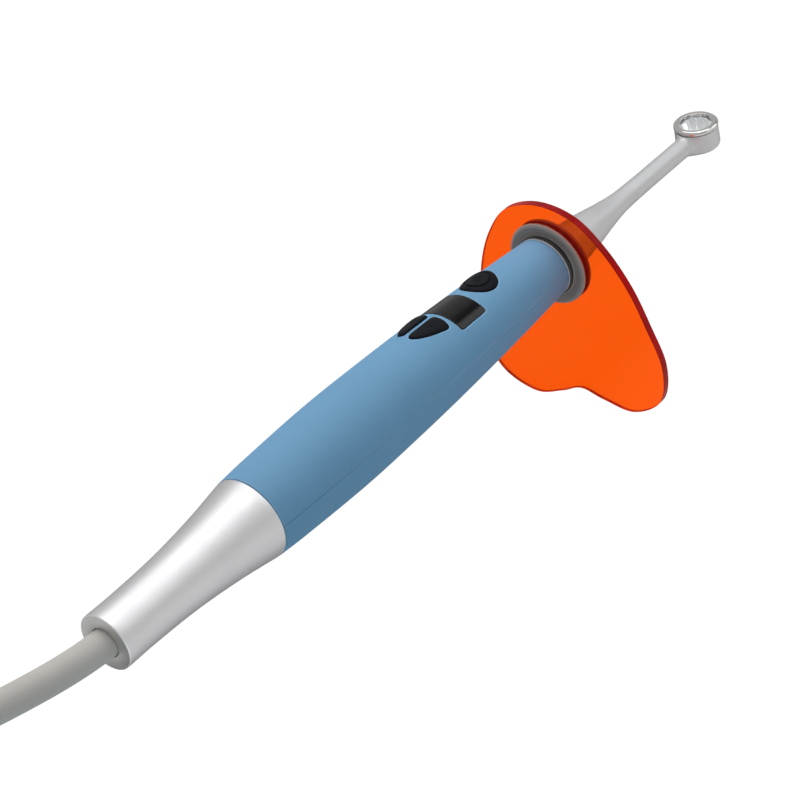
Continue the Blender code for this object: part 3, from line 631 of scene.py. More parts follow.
# lighter blue for the lips round the openings: a painted highlight
BLUE_LIP_HIGHLIGHT = finish("m_blue_shell_lip_highlight", colour=(0.32, 0.63, 0.94), rough=0.52, drift=0.02,
                  grain=0.004, grain_scale=8000, specular=0.3)
CORD = finish("m_cord_silicone", colour=(0.80, 0.77, 0.73), rough=0.62, drift=0.025,
              grain=0.010, grain_scale=4200, sheen=0.05, specular=0.30, specks=0.04)
WIRE_RED = finish("m_wire_red", colour=(0.50, 0.02, 0.02), rough=0.42, drift=0.05,
                  grain=0.004)
WIRE_BLACK = finish("m_wire_black", colour=(0.012, 0.012, 0.014), rough=0.42, drift=0.1,
                    grain=0.004)
COPPER = finish("m_copper_strand", colour=(0.85, 0.42, 0.22), rough=0.30, metal=1.0,
                drift=0.08, grain=0.01)
RUBBER = finish("m_black_rubber", colour=(0.011, 0.011, 0.012), rough=0.32, drift=0.10,
                grain=0.004, grain_scale=5200, specks=0.1, specular=0.6)
KEYS = finish("m_key_rubber", colour=(0.0098, 0.0118, 0.0160), rough=0.52, drift=0.10,
              grain=0.007, grain_scale=5600, rough_drift=0.12, specular=0.10, edge=0.015,
              edge_width=0.3)
SILICONE = finish("m_grey_silicone", colour=(0.470, 0.405, 0.365), rough=0.50, drift=0.05,
                  grain=0.006, grain_scale=4200, sheen=0.15, specular=0.35, edge=0.5,
                  edge_width=0.25)
# lighter grey for the grommet's rounded lips: a painted highlight
SILICONE_LIP_HIGHLIGHT = finish("m_grey_silicone_lip_highlight", colour=(0.60, 0.57, 0.54), rough=0.45,
                      drift=0.04, grain=0.004, grain_scale=4200, specular=0.4)
INNER = finish("m_inner_plastic", colour=(0.05, 0.05, 0.055), rough=0.55, drift=0.08,
               grain=0.008)
BOARD = finish("m_board_mask", colour=(0.015, 0.14, 0.06), rough=0.35, drift=0.12,
               drift_scale=700, grain=0.004, grain_scale=2500, coat=0.3, specks=0.12,
               speck_scale=2600)
LED_BOARD = finish("m_led_board", colour=(0.72, 0.71, 0.66), rough=0.38, metal=1.0,
                   drift=0.05, grain=0.006)
WINDOW = finish("m_display_glass", colour=(0.0040, 0.0040, 0.0052), rough=0.13, drift=0.10,
                rough_drift=0.12, specks=0.05, specular=0.36)
PANEL = finish("m_display_panel", colour=(0.02, 0.035, 0.05), rough=0.22, drift=0.08,
               drift_scale=900)
CHIP = finish("m_chip_epoxy", colour=(0.02, 0.02, 0.021), rough=0.55, drift=0.10,
              grain=0.006)
STEEL = finish("m_steel", colour=(0.62, 0.62, 0.64), rough=0.24, metal=1.0, drift=0.03,
               grain=0.004, grain_scale=3000, edge=0.4)
NOSE = finish("m_nose_satin", colour=(0.93, 0.945, 0.96), rough=0.36, metal=0.45,
              drift=0.02, grain=0.004, grain_scale=3000, edge=0.6)
BUSH = acetal()
SWITCH = finish("m_switch_plastic", colour=(0.06, 0.06, 0.062), rough=0.48, drift=0.08,
                grain=0.005)
CONNECTOR = finish("m_connector_nylon", colour=(0.74, 0.72, 0.66), rough=0.48, drift=0.04,
                   grain=0.006)
CAN = finish("m_capacitor_can", colour=(0.60, 0.61, 0.64), rough=0.28, metal=1.0,
             drift=0.04, grain=0.003)
FERRITE = finish("m_ferrite", colour=(0.06, 0.06, 0.065), rough=0.62, drift=0.15,
                 grain=0.02, grain_scale=3500)
CHROME = finish("m_bezel_chrome", colour=(0.70, 0.69, 0.675), rough=0.08, metal=1.0,
                drift=0.02, grain=0.0012, grain_scale=2500, rough_drift=0.25,
                rough_scale=900)
MIRROR = finish("m_reflector", colour=(0.94, 0.95, 0.965), rough=0.08, metal=1.0,
                drift=0.02, grain=0.0003, grain_scale=2500, rough_drift=0.2)
RIB = finish("m_reflector_rib", colour=(0.98, 0.98, 0.98), rough=0.32, metal=1.0,
             drift=0.02, rough_drift=0.2)
EMITTER = finish("m_led_die", colour=(0.80, 0.62, 0.10), rough=0.30, drift=0.10,
                 drift_scale=2500, coat=1.0, coat_rough=0.02)
DOME = clear("m_led_dome", colour=(0.96, 0.96, 0.97), rough=0.02, drift=0.01, ior=1.41)
GLASS = clear("m_lens_acrylic", colour=(0.97, 0.98, 0.985), rough=0.004, drift=0.005,
              ior=1.42, rough_drift=0.4)
ORANGE = orange_acrylic()

# Profiles below are (x, radius, corner radius) for fillet and (x, radius) for lathe.

# ------------------------------------------------------------------ rear sleeve
profile = [(0.0, 3.56, 0.12), (0.0, 6.70, 0.27)]
profile += [(x, sleeve_radius(x), 0.0) for x in spread(1.6, 43.2, 42)]
profile += [(SLEEVE_END + 0.06, sleeve_radius(SLEEVE_END), 0.26),
            (SLEEVE_END + 0.06, 7.4, 0.15),
            (36.0, 7.4, 0.0), (28.0, 5.3, 0.0), (2.2, 5.3, 0.0), (2.2, 3.56, 0.12)]
sleeve = to_object(lathe(fillet(profile, 5), 160), "sleeve_turned",
                   (ALU, ALU_FACE, ALU_EDGE_HIGHLIGHT), sharp=40)
# the end face takes its own finish; the chamfers at both ends are lighter: a painted highlight
for face in sleeve.data.polygons:
    x, y, z = in_mm(face.center)
    if face.normal.x < -0.97:
        face.material_index = 1
    elif (x < 0.27 and math.hypot(y, z) > 6.3) or (x > SLEEVE_END - 0.20
                                                   and face.normal.x > 0.25):
        face.material_index = 2
add(sleeve, "handle", "rear_sleeve")


# ------------------------------------------------------------------ cord
def cord_path(x_front, length, aside=0.0):
    """Centre line from inside the handle to the cut end, leaning over and then sagging.

    length is what runs outside; aside moves the line sideways from the cord's middle.
    """
    step = 0.5

    def heading(distance):
        lean = math.radians(28.0) * (1.0 - math.exp(-distance / 15.0))
        sag = math.radians(16.0) * max(0.0, min(1.0, (distance - 34.0) / 40.0)) ** 1.5
        return Vector((-math.cos(lean) * math.cos(sag), math.sin(lean) * math.cos(sag),
                       -math.sin(sag)))

    path = [Vector((x, aside, 0.0)) for x in spread(x_front, 2.0, int((x_front - 2) / 3))]
    point = Vector((1.5, 0.0, 0.0))
    distance = 0.0
    count = 0
    while distance <= length + 1e-6:
        if count % 3 == 0 or distance > length - step / 2:
            along = heading(distance)
            upward = Vector((0, 0, 1)) - along * along.z
            path.append(point + along.cross(upward.normalized()) * aside)
        point = point + heading(distance + step / 2) * step
        distance += step
        count += 1
    return path


def strands(path):
    """Seven copper strands standing out of the cut end of a core."""
    end = path[-1]
    along = (end - path[-3]).normalized()
    across = along.cross(Vector((0, 0, 1))).normalized()
    other = along.cross(across)
    spots = [(0.0, 0.0)] + [(0.27 * math.cos(a), 0.27 * math.sin(a))
                            for a in (math.pi / 3 * k for k in range(6))]
    solid = bmesh.new()
    for a, b in spots:
        start = path[-2] - along * 0.6 + across * a + other * b
        tip = end + along * 0.15 + across * a + other * b
        merge(solid, tube([start, (start + tip) / 2, tip], 0.12, segments=12, round_end=0.04))
    return solid


add(to_object(tube(cord_path(17.5, 78.0), 3.35, segments=64, bore=2.0, round_end=0.18),
              "cord_jacket", CORD, sharp=45), "handle", "cable_jacket")
for colour, aside, material in (("red", 1.0, WIRE_RED), ("black", -1.0, WIRE_BLACK)):
    path = cord_path(56.6, 81.0, aside)
    core = to_object(tube(path[:-1], 0.75, segments=24, round_end=0.08),
                     "core_insulation_" + colour, material, sharp=45)
    add(core, "handle", "core_" + colour)
    add(to_object(strands(path), "core_strands_" + colour, COPPER, sharp=45),
        "handle")


# ------------------------------------------------------------------ shells
def stations(start, end, step):
    return spread(start, end, max(1, round((end - start) / step)))


def half_shell(name, start, end, seam_z):
    """One moulded half between two angles in degrees, with its seam faces at z = seam_z."""
    rear, front = shell_radius(SHELL_START), shell_radius(SHELL_END)
    profile = [(SHELL_START - 0.06, rear - WALL, 0.0), (SHELL_START - 0.06, rear, 0.14)]
    profile += [(x, shell_radius(x), 0.0)
                for x in stations(SHELL_START + 0.35, SHELL_END - 0.35, 1.45)]
    profile += [(SHELL_END, front, 0.16), (SHELL_END, front - WALL, 0.0)]
    profile += [(x, shell_radius(x) - WALL, 0.0)
                for x in reversed(stations(SHELL_START + 3, SHELL_END - 3, 8.0))]
    points = fillet(profile, 4)
    outer = [r > shell_radius(x) - 0.3 for x, r in points]
    # the seam edge is softened: the first and last two rows bend inward a little
    dips = (0.06, 0.02)
    lip = math.degrees(0.10 / 9.5)
    angles = ([start, start + lip * 0.45, start + lip * 1.2]
              + spread(start + 1.9, end - 1.9, 92)
              + [end - lip * 1.2, end - lip * 0.45, end])
    rings = []
    for i, degrees in enumerate(angles):
        near = min(i, len(angles) - 1 - i)
        dip = dips[near] if near < len(dips) else 0.0
        a = math.radians(degrees)
        radii = [r - (dip if out else 0.0) for (_, r), out in zip(points, outer)]
        rings.append([(x, r * math.sin(a), r * math.cos(a))
                      for (x, _), r in zip(points, radii)])
    solid = bmesh.new()
    rows = skin(solid, rings)
    # the two rows beside each seam take the seam material: a dark joint at the rear, a painted
    # highlight in front
    for i, face in enumerate(solid.faces):
        row, k = divmod(i, len(points))
        if (min(row, len(rows) - 2 - row) < 2 and outer[k]
                and outer[(k + 1) % len(points)]):
            face.material_index = 1
    close_ends(solid, rows)
    for vertex in solid.verts:
        if abs(vertex.co.z) < 1e-5:
            vertex.co.z = seam_z
    return to_object(solid, name, (BLUE, BLUE_SEAM_HIGHLIGHT, BLUE_LIP_HIGHLIGHT), sharp=40)


# mouth of an opening, rounded where it meets the surface: (height above it, growth)
LIP = ((-0.30, 0.0), (-0.22, 0.012), (-0.14, 0.045), (-0.09, 0.10), (-0.06, 0.18),
       (0.03, 0.45), (0.4, 0.66))
LIP_GROWTH = LIP[-1][1]

KEY_X0, KEY_X1 = 100.8, 110.1
# the key on the +y side: (x, y)
KEY_POINTS = ((KEY_X0 + 0.15, 1.05), (KEY_X0 + 1.0, 0.72), (104.6, 0.70), (108.9, 0.72),
              (109.95, 1.35), (KEY_X1, 2.75), (109.85, 4.35), (109.2, 5.20), (107.9, 5.22),
              (104.8, 4.45), (102.2, 3.35), (KEY_X0 + 0.05, 2.05))
KEY_OUTLINES = {side: [(x, side * y) for x, y in catmull(KEY_POINTS, 8)] for side in (1, -1)}
POWER_OUTLINE = circle(POWER_X, 0.0, POWER_R, 96)

WINDOW_CORNER = 0.55
WINDOW_MID_R = handle_radius((WINDOW_X0 + WINDOW_X1) / 2)
WINDOW_HALF = math.radians(47.5) * WINDOW_MID_R         # half its arc length


def button_opening(outline):
    """Cutter for a button's opening, a little larger than its outline."""
    mouth = offset(outline, 0.10)
    rings = [[(x, y, 2.5) for x, y in mouth]]
    for height, growth in LIP:
        rings.append([(x, y, surface_z(x, y) + height) for x, y in offset(mouth, growth)])
    rings.append([(x, y, 14.0) for x, y in offset(mouth, LIP_GROWTH)])
    return loft(rings)


def window_outline(grow):
    """Rounded rectangle in (x, arc length at the window's middle radius)."""
    half = WINDOW_HALF + grow
    x0, x1 = WINDOW_X0 - grow, WINDOW_X1 + grow
    radius = max(WINDOW_CORNER + grow, 0.30)
    points = []
    for x, y, start in ((x1 - radius, half - radius, 0), (x0 + radius, half - radius, 90),
                        (x0 + radius, -half + radius, 180),
                        (x1 - radius, -half + radius, 270)):
        for k in range(9):
            a = math.radians(start + 90 * k / 8)
            points.append((x + radius * math.cos(a), y + radius * math.sin(a)))
    # even spacing along the long sides, so the ring follows the curved surface
    dense = []
    for here, there in zip(points, points[1:] + points[:1]):
        step_x, step_y = there[0] - here[0], there[1] - here[1]
        count = max(1, round(math.hypot(step_x, step_y) / 0.45))
        dense += [(here[0] + step_x * k / count, here[1] + step_y * k / count)
                  for k in range(count)]
    return dense


def wrap(x, arc_length, height):
    """Point on the handle at x and an arc length, at a height above the surface."""
    a = arc_length / WINDOW_MID_R
    radius = handle_radius(x) + height
    return (x, radius * math.sin(a), radius * math.cos(a))


def window_opening(levels):
    """Cutter for the window through (height above the surface, growth) levels."""
    return loft([[wrap(x, arc, height) for x, arc in window_outline(grow)]
                 for height, grow in levels], split=True)


def shell_surface(points):
    x, y, z = points.T
    radius = np.hypot(y, z)
    want = np.array([shell_radius(v) for v in x])
    slope = np.array([(shell_radius(v + 0.05) - shell_radius(v - 0.05)) / 0.1 for v in x])
    safe = np.maximum(radius, 1e-9)
    normal = np.stack([-slope, y / safe, z / safe], 1)
    normal /= np.linalg.norm(normal, axis=1)[:, None]
    return np.abs(radius - want) < 0.012, normal


upper = half_shell("shell_upper", -90, 90, 0.02)
lower = half_shell("shell_lower", 90, 270, -0.02)
for outline in (POWER_OUTLINE, KEY_OUTLINES[1], KEY_OUTLINES[-1]):
    boolean(upper, button_opening(outline))
SEAT_GAP = 0.07
boolean(upper, window_opening([(-1.35, SEAT_GAP)]
                              + [(height, SEAT_GAP + growth) for height, growth in LIP]
                              + [(2.5, SEAT_GAP + LIP_GROWTH)]))
# a smaller hole through the floor of the window's seat
boolean(upper, window_opening([(-4.0, -1.0), (0.5, -1.0)]))
tidy(upper, sharp=40, weld=1e-6, split=True)
# the moulded lips round the openings are a lighter blue: a painted highlight on their rounded
# edges
for face in upper.data.polygons:
    x, y, z = in_mm(face.center)
    radius = math.hypot(y, z)
    outward = (face.normal.y * y + face.normal.z * z) / radius
    if (radius - shell_radius(x) > -0.20 and 0.10 < outward < 0.990
            and face.material_index == 0):
        face.material_index = 2
exact_normals(upper, shell_surface, agree=0.9)
add(upper, "handle", "upper_shell")
add(lower, "handle", "lower_shell")


# ------------------------------------------------------------------ display window
def window_glass():
    """Curved window: a grid that fits the rounded rectangle, with a softened rim."""
    # bottom to top: (height above the surface, how far the outline is drawn in)
    layers = ((-1.2, 0.0), (-0.16, 0.0), (-0.085, 0.022), (-0.035, 0.075), (-0.02, 0.16))
    top = len(layers) - 1
    rows = 56
    length = WINDOW_X1 - WINDOW_X0
    bend = [WINDOW_CORNER * (0.5 - 0.5 * math.cos(math.pi * k / 8)) for k in range(1, 9)]
    columns = ([0.0] + bend
               + [WINDOW_CORNER + (length - 2 * WINDOW_CORNER) * k / 10 for k in range(1, 10)]
               + [length - v for v in reversed(bend)] + [length])
    columns = sorted(set(round(v, 5) for v in columns))
    last = len(columns) - 1

    def half_width(x, shrink):
        radius = max(WINDOW_CORNER - shrink, 0.2)
        past = max(0.0, WINDOW_X0 + shrink + radius - x, x - (WINDOW_X1 - shrink - radius))
        return WINDOW_HALF - shrink - radius + math.sqrt(max(radius * radius - past * past,
                                                             0.0))

    solid = bmesh.new()
    made = {}

    def vertex(layer, i, j):
        if (layer, i, j) not in made:
            height, shrink = layers[layer]
            x = WINDOW_X0 + shrink + columns[i] / length * (length - 2 * shrink)
            arc = half_width(x, shrink) * (2 * j / rows - 1)
            made[layer, i, j] = solid.verts.new(wrap(x, arc, height))
        return made[layer, i, j]

    for i in range(last):
        for j in range(rows):
            solid.faces.new((vertex(top, i, j), vertex(top, i + 1, j),
                             vertex(top, i + 1, j + 1), vertex(top, i, j + 1)))
            solid.faces.new((vertex(0, i, j), vertex(0, i, j + 1),
                             vertex(0, i + 1, j + 1), vertex(0, i + 1, j)))
    edge = ([(i, 0) for i in range(last)] + [(last, j) for j in range(rows)]
            + [(i, rows) for i in range(last, 0, -1)] + [(0, j) for j in range(rows, 0, -1)])
    for k in range(top):
        for a, b in zip(edge, edge[1:] + edge[:1]):
            solid.faces.new((vertex(k, *a), vertex(k, *b),
                             vertex(k + 1, *b), vertex(k + 1, *a)))
    return solid


add(to_object(window_glass(), "window_glass", WINDOW, sharp=50), "handle",
    "display_window")


# ------------------------------------------------------------------ buttons
def button(outline, flange, z_low, z_step, levels, height):
    """Push button: flange, straight wall and a top built ring by ring.

    levels are (scale of the outline, height above the height function).
    """
    centre_x = sum(p[0] for p in outline) / len(outline)
    centre_y = sum(p[1] for p in outline) / len(outline)
    wide = offset(outline, flange)
    rings = [[(x, y, z_low) for x, y in wide], [(x, y, z_step) for x, y in wide],
             [(x, y, z_step) for x, y in outline]]
    for scale, rise in levels:
        ring = [(centre_x + (x - centre_x) * scale, centre_y + (y - centre_y) * scale)
                for x, y in outline]
        rings.append([(x, y, height(x, y) + rise) for x, y in ring])
    solid = bmesh.new()
    rows = skin(solid, rings)
    solid.faces.new(rows[0])
    middle = solid.verts.new((centre_x, centre_y, height(centre_x, centre_y) + levels[-1][1]))
    rim = rows[-1]
    for k in range(len(rim)):
        solid.faces.new((rim[k], rim[(k + 1) % len(rim)], middle))
    return solid


def emboss(inner, outer, height, rise):
    """Low raised mark between an inner and an outer open curve, with sloped sides."""
    slope = 0.35
    rings = []
    for (inner_x, inner_y), (outer_x, outer_y) in zip(inner, outer):
        x, y = (inner_x + outer_x) / 2, (inner_y + outer_y) / 2
        section = ((inner_x, inner_y, -0.10),
                   (inner_x + (x - inner_x) * slope, inner_y + (y - inner_y) * slope, rise),
                   (outer_x + (x - outer_x) * slope, outer_y + (y - outer_y) * slope, rise),
                   (outer_x, outer_y, -0.10))
        rings.append([(a, b, height(a, b) + lift) for a, b, lift in section])
    return loft(rings)


def bar(x, start, end, y_inner, y_outer):
    """Inner and outer curves of a straight mark along x."""
    return [[(x + v, y) for v in spread(start, end, 6)] for y in (y_inner, y_outer)]


def power_height(x, y):
    return math.sqrt(handle_radius(POWER_X) ** 2 - y * y)


# crown with a groove ringing a raised middle
POWER_LEVELS = ((1.0, -0.60), (1.0, 0.02), (0.992, 0.14), (0.972, 0.27), (0.945, 0.38),
                (0.91, 0.47), (0.86, 0.545), (0.80, 0.60), (0.755, 0.620), (0.735, 0.610),
                (0.722, 0.57), (0.714, 0.48), (0.706, 0.37), (0.690, 0.32), (0.660, 0.32),
                (0.646, 0.38), (0.640, 0.55), (0.632, 0.67), (0.610, 0.72), (0.57, 0.735),
                (0.48, 0.745), (0.36, 0.75), (0.22, 0.75), (0.10, 0.75))
power = to_object(button(POWER_OUTLINE, FLANGE, 4.2, 4.75, POWER_LEVELS, power_height),
                  "power_cap", KEYS, sharp=50)
# power mark: an open ring with a bar in its gap
arc = [math.radians(a) for a in spread(40, 320, 40)]
open_ring = [[(POWER_X + r * math.cos(a), r * math.sin(a)) for a in arc]
             for r in (0.80, 1.10)]
for curves in (open_ring, bar(POWER_X, 0.10, 1.35, -0.15, 0.15)):
    boolean(power, emboss(*curves, lambda x, y: power_height(x, y) + 0.745, 0.11), "UNION")
tidy(power, sharp=50)
add(power, "power_key", "power_button")

KEY_LEVELS = ((1.0, -0.60), (1.0, -0.02), (0.992, 0.08), (0.975, 0.18), (0.95, 0.27),
              (0.915, 0.345), (0.87, 0.40), (0.80, 0.445), (0.70, 0.475), (0.58, 0.485),
              (0.44, 0.475), (0.30, 0.46), (0.15, 0.45))
for side, name in ((1, "left"), (-1, "right")):
    key = to_object(button(KEY_OUTLINES[side], 0.40, 4.6, 5.1, KEY_LEVELS, surface_z),
                    name + "_cap", KEYS, sharp=50)
    # a short raised rib on the key
    boolean(key, emboss(*bar(106.35, 0.0, 1.5, side * 2.62, side * 2.98),
                        lambda x, y: surface_z(x, y) + 0.47, 0.10), "UNION")
    tidy(key, sharp=50)
    add(key, name + "_key", name + "_button")


# ------------------------------------------------------------------ nose
collar = to_object(lathe(fillet([
    (134.0, 4.75, 0.1), (134.0, 5.50, 0.2), (147.50, 5.50, 0.0), (147.50, 7.38, 0.08),
    (147.78, 7.38, 0.12), (147.78, 6.60, 0.10), (152.7, 6.60, 0.25), (153.0, 6.30, 0.1),
    (153.0, 4.75, 0.15)]), 128), "nose_ring", NOSE, sharp=40)
# a round cross hole through the wall on the button side
boolean(collar, tube([Vector((141.0, 0, z)) for z in (4.0, 5.5, 7.0)], 0.65, 24,
                     side=(1, 0, 0)))
tidy(collar, sharp=40)
add(collar, "handle", "nose_collar")
add(to_object(lathe(fillet([
    (147.88, 6.75, 0.05), (147.88, 7.22, 0.20), (148.25, 7.62, 0.30), (148.70, 7.62, 0.30),
    (149.05, 7.22, 0.20), (149.05, 6.75, 0.05)], 5), 128), "nose_gasket", RUBBER, sharp=60),
    "handle", "nose_seal_ring")

# ------------------------------------------------------------------ shield grommet
rear, front = GROMMET_X0, GROMMET_X1
slot_rear, slot_front = PLATE_X0 - 0.15, PLATE_X1 + 0.15
grommet = to_object(lathe(fillet([
    (rear + 0.52, 6.86, 0.10), (rear + 0.40, 7.30, 0.14), (rear + 0.66, 7.62, 0.12),
    (rear + 0.72, 8.15, 0.5), (rear, 9.75, 0.45), (rear + 0.42, 10.5, 0.42),
    (slot_rear, 10.42, 0.12), (slot_rear, 8.30, 0.15), (slot_front, 8.30, 0.15),
    (slot_front, 10.42, 0.12), (front - 0.42, 10.5, 0.42), (front, 9.75, 0.45),
    (front - 0.35, 7.75, 0.5), (front - 0.32, 6.86, 0.12)], 5), 128), "shield_bush",
    (SILICONE, SILICONE_LIP_HIGHLIGHT), sharp=60)
# lighter lips at the inner and outer edges of its rear face: painted highlights on their
# rounded edges
for face in grommet.data.polygons:
    x, y, z = in_mm(face.center)
    radius = math.hypot(y, z)
    if (x < rear + 0.62 and radius < 7.50) or (rear + 0.10 < x < rear + 0.50
                                               and radius > 10.12):
        face.material_index = 1
add(grommet, "grommet", "shield_grommet")


# ------------------------------------------------------------------ eye shield
def shield_plate():
    """Flat plate with a hole; every edge has a fine polished round."""
    outline = catmull(SHIELD_HALF + tuple((-y, z) for y, z in reversed(SHIELD_HALF[1:-1])), 10)
    hole = circle(0.0, 0.0, SHIELD_HOLE_R, 96)
    # (distance in from the face, distance in from the edge)
    rounding = [(SHIELD_ROUND * (1 - math.sin(math.radians(a))),
                 SHIELD_ROUND * (1 - math.cos(math.radians(a)))) for a in (0, 30, 60, 90)]
    levels = ([(PLATE_X0 + depth, inset) for depth, inset in reversed(rounding)]
              + [(PLATE_X1 - depth, inset) for depth, inset in rounding])
    solid = bmesh.new()
    walls = []
    for points, inward in ((outline, -1), (hole, 1)):
        walls.append(skin(solid, [[(x, y, z) for y, z in offset(points, inward * inset)]
                                  for x, inset in levels]))
    for end in (0, -1):
        edges = []
        for rows in walls:
            ring = rows[end]
            edges += [solid.edges.get(pair) for pair in zip(ring, ring[1:] + ring[:1])]
        bmesh.ops.triangle_fill(solid, use_beauty=True, use_dissolve=False, edges=edges)
    tilt(solid, SHIELD_TURN)
    return solid


add(to_object(shield_plate(), "shield_plate", ORANGE, sharp=14), "shield",
    "light_shield")

# ------------------------------------------------------------------ neck and head
HEAD_R, HEAD_TAPER = 5.28, 0.12         # radius at the rim, and its gain at the bottom
HEAD_LOW, HEAD_RIM = -2.60, 2.65        # z of the head's bottom and rim
HEAD_ROUND = 0.95                       # rounding of the bottom edge


def smooth_min(a, b, blend):
    h = np.clip(0.5 + 0.5 * (b - a) / blend, 0.0, 1.0)
    return b * (1 - h) + a * h - blend * h * (1 - h)


def smooth_max(a, b, blend):
    return -smooth_min(-a, -b, blend)


neck_x = np.linspace(150.0, 212.0, 1241)
neck_radius = np.array([hermite(NECK_OUTLINE, x) for x in neck_x])
neck_slope = np.gradient(neck_radius, neck_x)


def neck_shape(points):
    """Signed distance, in mm, of the neck blended into the light head (head upright)."""
    x, y, z = points[..., 0], points[..., 1], points[..., 2]
    radius = np.interp(x, neck_x, neck_radius)
    slope = np.interp(x, neck_x, neck_slope)
    stem = (np.hypot(y, z) - radius) / np.sqrt(1 + slope * slope)
    stem = smooth_max(stem, 153.3 - x, 0.35)
    stem = smooth_max(stem, x - 209.0, 0.5)
    taper = HEAD_TAPER * (HEAD_RIM - z) / (HEAD_RIM - HEAD_LOW)
    wall = np.hypot(x - HEAD_X, y) - (HEAD_R + taper) + HEAD_ROUND
    low = HEAD_LOW - z + HEAD_ROUND
    puck = (np.minimum(np.maximum(wall, low), 0.0)
            + np.hypot(np.maximum(wall, 0), np.maximum(low, 0)) - HEAD_ROUND)
    both = smooth_min(stem, puck, 1.75)
    # the head is cut crisply at the rim, under the bezel
    return np.where(x > 196.0, smooth_max(both, z - HEAD_RIM, 0.10), both)


def differences(shape, points, reach):
    """Change of the distance across each point, over twice the reach along each axis."""
    return np.stack([shape(points + np.eye(3)[k] * reach) - shape(points - np.eye(3)[k] * reach)
                     for k in range(3)], 1)


def surface_net(shape, *axes):
    """Quads over the zero level of a signed distance, then pulled exactly onto it."""
    grid = np.stack(np.meshgrid(*axes, indexing="ij"), -1)
    distance = shape(grid)
    inside = distance < 0
    cells = [n - 1 for n in distance.shape]
    total = np.zeros((*cells, 3))
    count = np.zeros(cells)
    crossings = []
    for axis in range(3):
        near = [slice(None)] * 3
        far = [slice(None)] * 3
        near[axis], far[axis] = slice(0, -1), slice(1, None)
        near, far = tuple(near), tuple(far)
        cross = inside[near] != inside[far]
        gap = distance[near] - distance[far]
        t = np.where(cross, distance[near] / np.where(cross, gap, 1.0), 0.0)
        point = grid[near] + t[..., None] * (grid[far] - grid[near])
        point = np.where(cross[..., None], point, 0.0)
        first, second = [k for k in range(3) if k != axis]
        # the four cells that share each edge
        for i in (0, 1):
            for j in (0, 1):
                source = [slice(None)] * 3
                source[first] = slice(i, cross.shape[first] - 1 + i)
                source[second] = slice(j, cross.shape[second] - 1 + j)
                total += point[tuple(source)]
                count += cross[tuple(source)]
        crossings.append((first, second, cross))
    used = count > 0
    index = -np.ones(used.shape, int)
    index[used] = np.arange(used.sum())
    points = total[used] / count[used][:, None]
    faces = []
    for first, second, cross in crossings:
        edges = np.argwhere(cross)
        edges = edges[(edges[:, first] > 0) & (edges[:, second] > 0)
                      & (edges[:, first] < used.shape[first])
                      & (edges[:, second] < used.shape[second])]
        corners = []
        for i, j in ((-1, -1), (0, -1), (0, 0), (-1, 0)):
            cell = edges.copy()
            cell[:, first] += i
            cell[:, second] += j
            corners.append(index[cell[:, 0], cell[:, 1], cell[:, 2]])
        faces += np.stack(corners, 1).tolist()
    reach = 1e-3
    for _ in range(4):
        value = shape(points)
        gradient = differences(shape, points, reach) / (2 * reach)
        steep = np.maximum((gradient * gradient).sum(1), 0.2)
        points = points - 0.8 * (value / steep)[:, None] * gradient
    return points, faces


def grid_steps(*parts):
    """Grid positions over (start, end, spacing) parts that follow on from each other."""
    steps = [parts[0][0]]
    for start, end, spacing in parts:
        steps += list(np.linspace(start, end, max(1, round((end - start) / spacing)) + 1)[1:])
    return np.array(steps)


def neck_blank():
    across = grid_steps((-6.6, 6.6, 0.24))
    along = grid_steps((152.9, 154.1, 0.2), (154.1, 199.0, 0.55), (199.0, 215.7, 0.22))
    points, faces = surface_net(neck_shape, along, across, across)
    solid = bmesh.new()
    made = [solid.verts.new(p) for p in points]
    for face in faces:
        if len(set(face)) == 4:
            solid.faces.new([made[i] for i in face])
    tilt(solid, HEAD_TURN)
    return solid


def neck_surface(points):
    turn = math.radians(HEAD_TURN)
    cos, sin = math.cos(turn), math.sin(turn)
    back = np.array([[1, 0, 0], [0, cos, sin], [0, -sin, cos]])
    upright = points @ back.T
    normal = differences(neck_shape, upright, 0.02)
    normal /= np.maximum(np.linalg.norm(normal, axis=1), 1e-9)[:, None]
    return np.abs(neck_shape(upright)) < 0.02, normal @ back


neck = to_object(neck_blank(), "neck_body", ALU_NECK, sharp=60, weld=0)
# shank inside the handle, with two ring grooves
boolean(neck, lathe([
    (129.6, 0.0), (129.6, 3.4), (129.8, 3.6), (131.35, 3.6), (131.35, 3.1), (132.75, 3.1),
    (132.75, 3.6), (147.3, 3.6), (147.3, 4.5), (149.45, 4.5), (149.45, 3.7), (151.05, 3.7),
    (151.05, 4.5), (154.6, 4.5), (154.6, 0.0)], 64), "UNION")
# cavity of the head, then a bore along the neck
boolean(neck, head_spin([(0.0, -1.45), (4.45, -1.45), (4.45, 1.5), (4.60, 1.5),
                         (4.60, 4.5), (0.0, 4.5)], 96))
boolean(neck, lathe([(128.6, 0.0), (128.6, 1.4), (206.4, 1.4), (206.4, 0.0)], 40))
# part-round groove in the shank
boolean(neck, lathe([(140.2, 2.95), (140.2, 5.0), (141.8, 5.0), (141.8, 2.95)], 60,
                    arc=(-132.0, 132.0)))
tidy(neck, sharp=50)
exact_normals(neck, neck_surface, agree=0.75)
add(neck, "neck", "neck_housing")

# bezel: (radius, z, corner radius)
add(to_object(head_spin(fillet([
    (4.12, 1.75, 0.08), (4.12, 3.36, 0.05), (3.90, 3.44, 0.04), (3.90, 3.64, 0.08),
    (4.02, 3.79, 0.12), (4.90, 3.84, 0.60), (BEZEL_R, 3.38, 0.40), (BEZEL_R, 2.80, 0.18),
    (4.45, 2.80, 0.0), (4.45, 1.75, 0.05)], 6), 128), "bezel_ring", CHROME, sharp=60),
    "neck", "lens_bezel")

